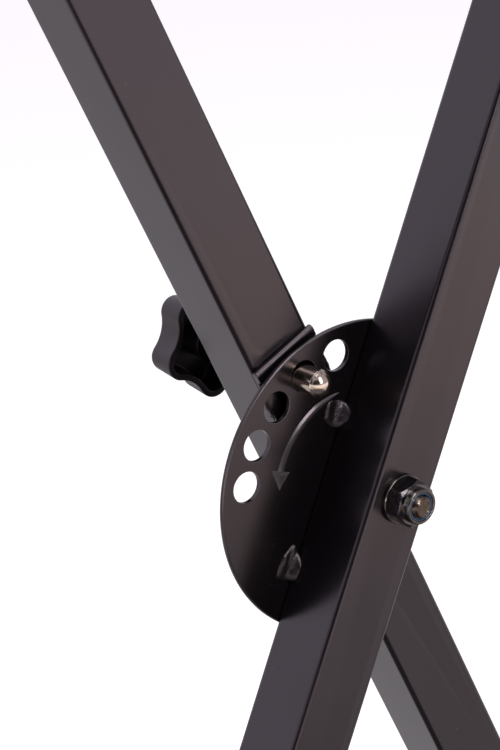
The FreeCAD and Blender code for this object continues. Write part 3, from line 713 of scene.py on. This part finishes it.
def mitred(loop, inset):             # the loop moved inward by the inset, its corners kept sharp
    ahead = np.roll(loop, -1, 0) - loop
    ahead /= np.linalg.norm(ahead, axis=1, keepdims=True)
    out = join(ahead[:, 1], -ahead[:, 0])
    out = out * np.sign(np.sum(loopNormals(loop) * out))
    back = np.roll(out, 1, 0)
    return loop - inset * (out + back) / (1 + np.sum(out * back, axis=1, keepdims=True))


def arrow():
    # A raised band along an arc, its height a tent where the band is thin, and a head with sloping sides
    form = arrowForm
    share = np.linspace(0, 1, 60)
    turn = np.radians(form["from"] + (form["to"] - form["from"]) * share) - lean
    half = form["half"] * (0.1 + 0.9 * np.minimum(share / form["thin"], 1) ** 0.7)
    flank = np.minimum(form["slope"], half * 0.98)
    high = plateFront - form["height"] * flank / form["slope"]
    low = plateFront + form["sink"]
    band = around(form["middle"] + join(half, half, half - flank, flank - half, -half, -half), turn[:, None])
    head = around(np.array([form["headOuter"], form["tipRadius"], form["headInner"]]),
                  np.radians([form["to"], form["tip"], form["to"]]) - lean)
    rings = np.stack([head, head, mitred(head, form["slope"])])
    heights = np.array([low, plateFront, plateFront - form["height"] - form["over"]])[:, None]
    points = onPlate(rings[..., 0], rings[..., 1], heights)
    points = np.concatenate([points, np.broadcast_to(points[2].mean(0), (1, 3, 3))])
    return [grid(onPlate(band[..., 0], band[..., 1], join(low, plateFront, high, high, plateFront, low))),
            grid(points)]


piece("arrowEmboss", arrow(), 1, "rubbedPaint", "front_frame", None, 30.0)


def lump(centre, size, seed, lumps=0.16, count=48):
    # A weld tack: a ball scaled to size whose radius swells and sinks in waves over its surface
    u = np.linspace(0, np.pi, count // 2 + 1)[:, None]
    v = fullTurn(count)[None]
    phase, share = wobble(seed, 6)
    wave = 0
    for i in range(6):
        wave = wave + share[i] / (i + 2) * np.sin((i + 2) * v * (i % 2 == 0) + (i + 3) * u + phase[i]) \
            * np.sin(u) * np.cos((i + 1) * v + phase[-i])
    r = 1 + lumps * wave
    ball = join(r * np.sin(u) * np.cos(v), r * np.sin(u) * np.sin(v), r * np.cos(u))
    return grid(np.array(centre) + np.array(size) * ball)


tackForm = {"fillet": 5.0, "middle": -2.3, "half": 6.3, "height": 0.75, "sink": 0.5, "back": (1.7, 1.0, 5),
            "spatter": 26, "spatterOut": 3.0, "spatterFrom": 0.07, "spatterTo": 0.16}
tacks = ({"z": 23.4, "long": 5.6, "taper": 0.12, "seed": 3}, {"z": -38.6, "long": 7.4, "taper": 0.5, "seed": 8})


def puddle(z, long, taper, seed):
    # A weld lying in the corner of plate and leg. Across, s runs over the plate, round a fillet and up the
    # leg's side; the height is H * (1 - r^3)^0.8 plus waves and less a crater, and falls below the faces
    # at r = 1
    form = tackForm
    fillet, quarter = form["fillet"], form["fillet"] * np.pi / 4
    r = np.concatenate([np.linspace(0, 1, 25) ** 0.8, np.linspace(1, 0, 7)])[:, None]
    under = np.concatenate([np.zeros(25), np.ones(7)])[:, None]
    v = fullTurn(72)[None]
    phase = wobble(seed, 6)[0]
    rim = 1 + 0.06 * np.sin(3 * v + phase[0]) + 0.04 * np.sin(5 * v + phase[1]) + 0.015 * np.sin(9 * v + phase[2])
    up = r * np.sin(v) * rim
    s = form["middle"] + form["half"] * r * np.cos(v) * rim * (1 - taper * (up + 1) / 2)
    waves = 0.12 * np.sin(5 * r + 2 * v + phase[3]) + 0.10 * np.sin(7 * r * np.cos(v) + 3 * up + phase[4]) \
        + 0.08 * np.sin(8 * up - 4 * r + phase[5])
    crater = 0.4 * np.exp(-((r * np.cos(v) - 0.1) ** 2 + (up + 0.15) ** 2) / 0.16)
    top = form["height"] * ((1 - r ** 3) ** 0.8 + waves * (1 - r ** 2) - crater) - 0.25 * r ** 8
    height = np.where(under > 0, -form["sink"], top)
    turn = np.clip(s / fillet + np.pi / 4, 0, np.pi / 2)      # 0 on the plate, a right angle on the leg
    over = np.where(s < -quarter, s + quarter, 0)
    climb = np.where(s > quarter, s - quarter, 0)
    x = -tubeHalf - fillet + (fillet - height) * np.sin(turn) + over
    y = plateFront - fillet + (fillet - height) * np.cos(turn) - climb
    return grid(join(x, y, z + long * up))


def plateTacks():
    form = tackForm
    surfaces = [puddle(**tack) for tack in tacks]
    small = (plateForm["back"], (plateFront + plateRear) / 2)
    surfaces += [lump(small + (tack["z"],), form["back"], 5 + tack["seed"]) for tack in tacks]
    rng = np.random.default_rng(4)
    for tack in tacks:                # spatter on the plate round each tack
        for i in range(form["spatter"]):
            turn, far = rng.uniform(0.55, 1.45) * np.pi, rng.uniform(1.1, 2.4)
            size = rng.uniform(form["spatterFrom"], form["spatterTo"])
            x = form["half"] * far * np.cos(turn) - tubeHalf - form["spatterOut"]
            centre = (x, plateFront, tack["z"] + tack["long"] * far * np.sin(turn))
            surfaces.append(lump(centre, (size,) * 3, 1, 0.1, 8))
    return surfaces


piece("plateTacks", plateTacks(), 1, "weld", "front_frame", "lock_plate_welds", 60.0)
print("locking plate drawn")


# Guide strip of the pull pin

guideForm = {"thick": 1.6, "half": 15.5, "top": 65.5, "low": 36.0, "hem": 5.0, "edge": 0.5, "hold": 0.8,
             "tack": 46.5, "tackIn": 0.2, "nib": 0.2, "nibs": 28, "nibFrom": -11.5, "nibTo": 4.4, "nibUp": 0.7,
             "nibSink": 0.05}
guideLumps = (                       # of one tack: how far back and how far up it is, and its size
    (0.3, 0, (1.0, 1.7, 5.6)), (2.0, -2, (0.7, 1.0, 3.0)))


def guideStrip():
    # The strip's outline seen from the side, with its rolled top, carried from one edge to the other
    form = guideForm
    back, front, lip = rearLow, rearLow - form["thick"], rearLow - 2 * form["thick"]
    top, low, half, edge = form["top"], form["low"], form["half"], form["edge"]
    hem = top - form["hem"]
    outline = rounded([(back, low), (back, top), (lip, top), (lip, hem), (front, hem), (front, low)],
                      [0.4, 1.5, 1.55, 0.7, 0.25, 0.4], 7, True)

    def place(y, z, x):
        return join(x, y, z)

    profile = rounded([(-form["hold"], -half), (0, -half), (0, half), (-form["hold"], half)],
                      [0, edge, edge, 0], 4)
    inner = outline - loopNormals(outline) * form["hold"]
    return [carried(outline, profile, place)] + [filled([inner], place, x) for x in (-half, half)]


piece("pinGuide", guideStrip(), -1, "paint", "rear_frame", "pin_guide")


def guideTacks():
    # Tacks on both sides, and the fine row of nibs that the folded edge leaves along the tube's front
    form = guideForm
    tacks = [lump((x, rearLow - form["nibSink"], form["top"] + form["nibUp"]), (form["nib"],) * 3, 2, 0.1, 8)
             for x in np.linspace(form["nibFrom"], form["nibTo"], form["nibs"])]
    for across, seed in ((-1, 11), (1, 14)):
        x = across * (form["half"] - form["tackIn"])
        tacks += [lump((x, rearLow + back, form["tack"] + up), size, seed + i, 0.3)
                  for i, (back, up, size) in enumerate(guideLumps)]
    return tacks


piece("guideTacks", guideTacks(), -1, "weld", "rear_frame", "pin_guide_welds", 60.0)
print("guide strip drawn")


# Pull pin

pinForm = {"radius": 5.4, "edge": 0.35, "nose": 1.4, "dome": 3.1, "shoulder": 14.0, "stem": 3.0, "chamfer": 0.6}
housingForm = {"radius": 8.0, "bore": 6.0, "flange": 11.0, "thick": 2.0, "edge": 0.8, "end": 4.0, "play": 0.08}
springForm = {"wire": 0.55, "mean": 4.7, "turns": 7.0, "travel": 16.0, "steps": 36}


def lockPin():
    form = pinForm
    radius, stem = form["radius"], form["stem"]
    tip, stop = yRange("lock_pin")
    tip -= form["nose"]              # stands out a little further than the solid
    rim = tip + form["dome"]
    nose = domeArc(radius - form["edge"], rim, tip, 14)[::-1]
    rest = rounded([(radius - form["edge"], rim), (radius, rim + form["edge"]), (radius, form["shoulder"]),
                    (stem, form["shoulder"]), (stem, stop), (0, stop)],
                   [0, 0.25, 0.3, 0.3, form["chamfer"], 0], 4)
    return [turned(np.concatenate([nose, rest[1:]]), 0, pinReach, 128)]


def pinHousing():
    form = housingForm
    low, high = yRange("pin_housing")
    bore, radius, flange, edge = form["bore"], form["radius"], form["flange"], form["edge"]
    stem, back, floor = pinForm["stem"] + form["play"], rearHigh + form["thick"], high - form["end"]
    profile = rounded([(bore, low), (radius, low), (radius, rearHigh), (flange, rearHigh), (flange, back),
                       (radius, back), (radius, high), (stem, high), (stem, floor), (bore, floor)],
                      [0.2, 0.2, 0, 0.2, edge, 0.6, edge, 0.2, 0.2, 0.3], 4, True)
    return [turned(profile, 0, pinReach, 96, True)]


def coil():
    # A round wire carried along a helix about the pin: centre (R cos t, pitch t, R sin t)
    form = springForm
    low, high = yRange("pull_spring")
    start, stop = low + form["wire"], high - form["wire"]
    t = np.linspace(0, 2 * np.pi * form["turns"], int(form["steps"] * form["turns"]) + 1)
    pitch = (stop - start) / t[-1]
    out = join(np.cos(t), 0, np.sin(t))
    ahead = join(-form["mean"] * np.sin(t), pitch, form["mean"] * np.cos(t))
    ahead /= np.linalg.norm(ahead, axis=1, keepdims=True)
    other = np.cross(ahead, out)
    centre = out * form["mean"] + join(0, start + pitch * t, 0)
    a = fullTurn(12)[:, None]
    r = form["wire"] * np.ones(len(t))
    r[[0, -1]] = 0
    r[[1, -2]] *= 0.7                # the wire's ends close
    tube = centre[:, None] + r[:, None, None] * (out[:, None] * np.cos(a) + other[:, None] * np.sin(a))
    return grid(tube + np.array([0, 0, pinReach]))


piece("lockPin", lockPin(), -1, "nickel", "pull_pin", "lock_pin")
piece("pinHousing", pinHousing(), -1, "paint", "rear_frame", "pin_housing")
spring = piece("pullSpring", [coil()], -1, "zinc", "rear_frame", "pull_spring")
springLow, springHigh = span("pull_spring")
seat = (springLow + springHigh) / 2000
seat[1] = springHigh[1] / 1000       # the pin presses the spring against the housing's end
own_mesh(spring)

knobForm = {"crest": 23.3, "valley": 18.2, "lobe": 7.5, "lobes": 5, "taper": 1.5, "top": 3.4,
            "round": 2.2, "turn": -10.5, "rim": 0.4, "flat": 5.0, "topFlat": 2.0, "hub": 7.5, "hubGap": 0.3,
            "hubRound": 0.5, "base": 0.6, "insert": 9.0, "insertLength": 7.0, "lead": 0.3, "edge": 0.15,
            "wall": 2.5, "collar": 1.2, "play": 0.04}


def star():
    # Round lobes joined by tangent hollows; the hollow's radius puts its centre lobe + hollow away
    form = knobForm
    step = np.pi / form["lobes"]
    c, valley, lobe = form["crest"] - form["lobe"], form["valley"], form["lobe"]
    k = np.cos(step)
    hollow = (c * c + valley ** 2 - 2 * c * valley * k - lobe ** 2) / (2 * (lobe + c * k - valley))
    far = valley + hollow
    meet = np.arctan2(far * np.sin(step), far * k - c)        # the way from the lobe's centre to the hollow's
    half = meet - step
    loop = []
    for i in range(form["lobes"]):
        middle = np.radians(form["turn"]) + 2 * step * i
        across = middle + step
        loop += [around(c, middle) + around(lobe, middle + np.linspace(-meet, meet, 25)),
                 around(far, across) + around(hollow, across + np.pi + np.linspace(half, -half, 15)[1:-1])]
    return np.concatenate(loop)


def pullKnob():
    # A cup with the star's outline, open to the front, and a hub in it with a hexagon hole for the insert
    form = knobForm
    rim, high = yRange("pull_knob")
    loop = star()[::-1]

    def place(x, z, y):
        return join(x, y, z + pinReach)

    top, wall, taper = high - form["top"], form["wall"], form["taper"]
    inTop = -wall - taper * (top - rim) / (high - rim)
    profile = rounded([(inTop - form["topFlat"], top), (inTop, top), (-wall, rim), (0, rim), (-taper, high),
                       (-taper - form["flat"], high)], [0, 1.0, form["rim"], form["rim"], form["round"], 0], 6)
    surfaces = [carried(loop, profile, place)]
    share = np.array([1, 0.8, 0.55, 0.3, 0.12, 0])[:, None, None]
    for outset, height in ((profile[0, 0], top), (profile[-1, 0], high)):
        points = (loop + loopNormals(loop) * outset)[None] * share
        surfaces.append(grid(place(points[..., 0], points[..., 1], height)))
    start, half, base = yRange("knob_insert")[0], form["insert"] / 2, top + form["base"]
    floor = start + form["insertLength"]
    outside = rounded([(half + form["hubGap"], start), (form["hub"], start), (form["hub"], base), (0, base)],
                      [0, form["hubRound"], 0, 0], 4)
    hub = np.concatenate([[(0, floor), (half, floor), (half, start)], outside])

    def radiusAt(radius, y, angle):
        return np.where(np.abs(radius - half) < 0.01, hexRadius(form["insert"], angle), radius)

    return surfaces + [turned(hub, 0, pinReach, 96, False, radiusAt)]


def knobInsert():
    low, high = yRange("knob_insert")
    form = knobForm
    lead, edge = form["lead"], form["edge"]
    flats, stem = form["insert"] - form["play"], pinForm["stem"] + form["play"] / 2
    half = flats / 2

    def radiusAt(radius, y, angle):
        outside = radius > pinForm["stem"] + form["collar"]
        return np.where(outside, hexRadius(flats, angle) * radius / half, radius)

    profile = np.array([(stem, low + lead), (stem + lead, low), (half - edge, low), (half, low + edge),
                        (half, high), (stem, high)])
    return [turned(profile, 0, pinReach, 96, True, radiusAt)]


piece("pullKnob", pullKnob(), -1, "plastic", "pull_pin", "pull_knob", 50.0)
piece("knobInsert", knobInsert(), -1, "brass", "pull_pin", "knob_insert")
print("pull pin and knob drawn")


# Pivot

pivotForm = {"bolt": 5.0, "flats": 17.0, "land": 0.35, "head": 6.4, "thread": 16.0, "washer": 10.0, "thick": 2.0,
             "washerEdge": 0.35, "play": 0.25, "hex": 6.6, "seatSlope": 0.2, "boreGap": 0.02, "collar": 7.3,
             "collarRound": 1.4, "turn": 13.0, "ring": 6.3, "ringDepth": 2.2, "lip": 0.8, "lipReach": 0.6,
             "ringNose": 0.25, "ringBore": 5.0, "chamfer": 1.0, "slope": 1.35, "crest": 4.75, "pitch": 1.5,
             "threadDepth": 0.5, "ringPlay": 0.02, "ringEdge": 0.15, "nosePlay": 0.03, "noseEdge": 0.2,
             "collarSink": 0.05, "spacer": 14.0, "spacerEdge": 0.4}
pivotLand = pivotForm["flats"] / 2 - pivotForm["land"]
pivotCone = np.linspace(0, 1, 12) * (pivotForm["flats"] / np.sqrt(3) - pivotLand) * hexSlope * 1.05
nutEnd, nutSeat = yRange("pivot_nut")
nutBore = pivotForm["bolt"] + pivotForm["boreGap"]


def pivotNut():
    flats, seatSlope, turn = pivotForm["flats"], pivotForm["seatSlope"], pivotForm["turn"]
    hexEnd = nutSeat - pivotForm["hex"]
    side = np.concatenate([nutSeat - pivotCone * seatSlope, hexEnd + pivotCone[::-1]])
    profile = np.concatenate([beyond(flats, side), [(pivotLand, hexEnd), (nutBore, hexEnd), (nutBore, nutSeat),
                                                    (pivotLand, nutSeat)]])
    cones = coned(flats, pivotLand, lambda y: np.minimum((nutSeat - y) / seatSlope, y - hexEnd), turn)
    return [turned(profile, 0, 0, 144, True, cones, turn)]


def nutCollar():
    # The turned end of the nut, rolled over the lock ring
    form = pivotForm
    base = nutSeat - form["hex"] + form["collarSink"]
    collar, ringRadius, mouth = form["collar"], form["ring"], form["ring"] - form["lipReach"]
    front = nutEnd + form["lip"]
    back = front + form["ringDepth"]
    profile = rounded([(nutBore, base), (collar, base), (collar, nutEnd), (mouth, nutEnd), (mouth, front),
                       (ringRadius, front), (ringRadius, back), (nutBore, back)],
                      [0, 0, form["collarRound"], 0.35, 0.2, 0, 0, 0], 8, True)
    return [turned(profile, 0, 0, 144, True)]


def pivotBolt():
    form, land = pivotForm, pivotLand
    tail, top = yRange("pivot_bolt")
    seat, plain = top - form["head"], tail + form["thread"]
    head = beyond(form["flats"], np.concatenate([[seat], top - pivotCone[::-1]]))
    profile = np.concatenate([[(0, plain), (form["bolt"], plain), (form["bolt"], seat)], head,
                              [(land, top), (land - 0.8, top), (0, top)]])
    return [turned(profile, 0, 0, 96, False, coned(form["flats"], land, lambda y: top - y)),
            threaded(form["crest"], plain, tail, form["pitch"], form["threadDepth"], form["chamfer"], 96,
                     form["slope"])]


def makePivot():
    form = pivotForm
    inner, thick = form["bolt"] + form["play"], form["thick"]
    washers = [ring(inner, form["washer"], low, low + thick, form["washerEdge"], count=128)
               for low in (frontLow - thick, rearHigh)]
    piece("pivotWashers", washers, 0, "rubbedZinc", "rear_frame", "pivot_washers")
    piece("pivotNut", pivotNut(), 0, "blackZinc", "rear_frame", "pivot_nut", 28.0)
    piece("nutCollar", nutCollar(), 0, "rubbedZinc", "rear_frame", "pivot_nut")
    piece("pivotBolt", pivotBolt(), 0, "wornSteel", "rear_frame", "pivot_bolt", 30.0)
    low, high = yRange("nut_lock_ring")
    play, edge, mouth = form["ringPlay"], form["noseEdge"], form["ring"] - form["lipReach"]
    inCollar = ring(form["crest"], form["ring"] - play, low + play, high, form["ringEdge"])
    inMouth = ring(form["ringBore"], mouth - form["nosePlay"], nutEnd + form["ringNose"], low + edge, edge)
    piece("nutLockRing", [inCollar, inMouth], 0, "nylon", "rear_frame", "nut_lock_ring")
    spacer = ring(inner, form["spacer"], *yRange("pivot_spacer"), form["spacerEdge"], count=128)
    piece("pivotSpacer", [spacer], 0, "plastic", "rear_frame", "pivot_spacer")


makePivot()
for name in ("front_leg_sleeve", "rear_leg_sleeve"):
    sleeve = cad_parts[name]
    for place in range(len(sleeve.material_slots)):
        sleeve.material_slots[place].material = finishes["zinc"][0]
print("pivot drawn")


# Studio

studio = {"floor": (0.93, 0.91, 0.90), "size": 30.0, "dull": 0.9, "lift": 0.32, "front": (0.5, 0.48, 0.51),
          "behind": (1.12, 1.08, 1.22), "frontY": -0.3, "behindY": 0.8, "dark": (0.03, 0.025, 0.028),
          "darkHeight": 3.0, "darkFrom": 0.67, "darkTo": 0.906, "glow": 1.78, "patch": (-0.25, -0.35, 0),
          "patchInner": 0.45, "patchOuter": 0.65, "patchColor": (0.10, 0.09, 0.098)}
floorTones = (                       # what gloss shows of the floor, by Y from front to back, glowing as a painted reflection on the legs
    (-1.9, (0.93, 0.875, 0.885)), (-1.6, (1.0, 0.94, 0.91)), (-1.3, (0.90, 0.76, 0.685)),
    (-1.05, (0.73, 0.62, 0.55)), (-0.84, (0.505, 0.455, 0.42)), (-0.7, (0.438, 0.403, 0.385)),
    (0.0, (0.455, 0.438, 0.455)), (0.5, (0.43, 0.415, 0.44)))
view = {"azimuth": -37.2998, "elevation": 20.2537, "roll": -2.63004, "right": -39.7891, "up": 40.1408,
        "back": 947.8227, "focus": 2398.54, "planeY": -3.5, "long": 750.0, "sensor": 36.0}
white = (1, 1, 1)


def aim(thing, right, up, back, place):
    axes = np.identity(4)
    axes[:3] = np.stack([right, up, back, place], -1)
    thing.matrix_world = Matrix(axes.tolist())


def makeCamera():
    a, e, r = (np.radians(view[key]) for key in ("azimuth", "elevation", "roll"))
    back = np.array([np.sin(a) * np.cos(e), -np.cos(a) * np.cos(e), np.sin(e)])
    right = np.array([np.cos(a), np.sin(a), 0])
    up = np.cross(back, right)
    x, y = right * np.cos(r) + up * np.sin(r), -right * np.sin(r) + up * np.cos(r)
    place = x * view["right"] + y * view["up"] + back * view["back"] + np.array([0, view["planeY"], pivotZ])
    lens = bpy.data.cameras.new("camera")
    lens.sensor_fit = "AUTO"
    lens.sensor_width = view["sensor"]
    lens.lens = view["focus"] * view["sensor"] / view["long"]
    camera = linked("camera", lens)
    aim(camera, x, y, back, place / 1000)
    bpy.context.scene.camera = camera


def makeFloor():
    # Paper that takes the shadow. The camera and glass see it lifted towards white; gloss sees its tones
    # glowing, set from the brightness of the legs' faces: a painted reflection on the legs, with painted shade
    # near the front
    size = studio["size"]
    data = bpy.data.meshes.new("floor")
    data.from_pydata([(-size, -size, 0), (size, -size, 0), (size, size, 0), (-size, size, 0)], [], [(0, 1, 2, 3)])
    floor = linked("floor", data)
    material = bpy.data.materials.new("paperFloor")
    material.use_nodes = True
    tree = material.node_tree
    shader = tree.nodes["Principled BSDF"]
    where = add(tree, "TexCoord", {}).outputs["Object"]
    axis = add(tree, "SeparateXYZ", {"Vector": where})
    first, last = floorTones[0][0], floorTones[-1][0]
    tones = add(tree, "ValToRGB", {"Fac": remap(tree, axis.outputs["Y"], first, last)})
    for i, (y, tone) in enumerate(floorTones):
        place = (y - first) / (last - first)
        stop = tones.color_ramp.elements[i] if i < 2 else tones.color_ramp.elements.new(place)
        stop.position, stop.color = place, tone + (1,)
    # a dark patch towards the camera, seen only by gloss: painted shade in the legs' reflections
    near = add(tree, "VectorMath", {0: where, 1: studio["patch"]}, operation="DISTANCE")
    patch = remap(tree, near.outputs["Value"], studio["patchOuter"], studio["patchInner"],
                  interpolation_type="SMOOTHSTEP")
    shown = blend(tree, patch, tones.outputs[0], studio["patchColor"])
    light = add(tree, "LightPath", {}).outputs
    glossy = light["Is Glossy Ray"]
    seen = maths(tree, "ADD", light["Is Camera Ray"], light["Is Transmission Ray"])
    lift = maths(tree, "MULTIPLY", seen, studio["lift"])
    for socket, value in (("Base Color", blend(tree, glossy, studio["floor"], (0, 0, 0))),
                          ("Emission Color", blend(tree, glossy, studio["floor"], shown)),
                          ("Emission Strength", maths(tree, "MULTIPLY_ADD", glossy, studio["glow"], lift))):
        tree.links.new(value, shader.inputs[socket])
    shader.inputs["Roughness"].default_value = studio["dull"]
    shader.inputs["Specular IOR Level"].default_value = 0.0
    data.materials.append(material)


def makeWorld():
    # Grey in front, a little over white behind, and dark where the photographer stands, as seen by gloss and
    # by the light that falls on the stand. The camera and glass see plain white
    world = bpy.data.worlds.new("studio")
    bpy.context.scene.world = world
    world.use_nodes = True
    tree = world.node_tree
    surface = tree.nodes["Background"]
    where = add(tree, "TexCoord", {}).outputs["Generated"]
    a, e = np.radians(view["azimuth"]), np.radians(studio["darkHeight"])
    toCamera = (np.sin(a) * np.cos(e), -np.cos(a) * np.cos(e), np.sin(e))
    near = add(tree, "VectorMath", {0: where, 1: toCamera}, operation="DOT_PRODUCT")
    dark = remap(tree, near.outputs["Value"], studio["darkFrom"], studio["darkTo"],
                 interpolation_type="SMOOTHSTEP")
    axis = add(tree, "SeparateXYZ", {"Vector": where})
    depth = remap(tree, axis.outputs["Y"], studio["frontY"], studio["behindY"])
    room = blend(tree, dark, blend(tree, depth, studio["front"], studio["behind"]), studio["dark"])
    light = add(tree, "LightPath", {}).outputs
    seen = maths(tree, "ADD", light["Is Camera Ray"], light["Is Transmission Ray"])
    tree.links.new(blend(tree, seen, room, white), surface.inputs["Color"])
    surface.inputs["Strength"].default_value = 1.0


lamps = {                            # radiance is what the lamp's face shows
    "key": {"way": (0.0, -0.84, 0.52), "far": 2.2, "wide": 0.55, "tall": 1.7, "radiance": 10.0,
            "color": (1.0, 0.99, 0.97)},
    "top": {"way": (-0.12, -0.03, 0.98), "far": 2.3, "wide": 0.7, "tall": 0.7, "radiance": 8.0,
            "color": (1.0, 0.99, 0.98)},
}


def makeLamps():
    for name, lamp in lamps.items():
        data = bpy.data.lights.new(name, "AREA")
        data.shape = "RECTANGLE"
        data.size, data.size_y = lamp["wide"], lamp["tall"]
        data.energy = lamp["radiance"] * np.pi * lamp["wide"] * lamp["tall"]
        data.color = lamp["color"]
        back = np.array(lamp["way"]) / np.linalg.norm(lamp["way"])
        right = np.cross([0, 0, 1], back)
        right /= np.linalg.norm(right)
        place = back * lamp["far"] + np.array([0, 0, pivotZ / 1000])
        aim(linked(name, data), right, np.cross(back, right), back, place)


makeCamera()
makeFloor()
makeWorld()
makeLamps()
bpy.context.scene.view_settings.view_transform = "Standard"
print("studio lit")
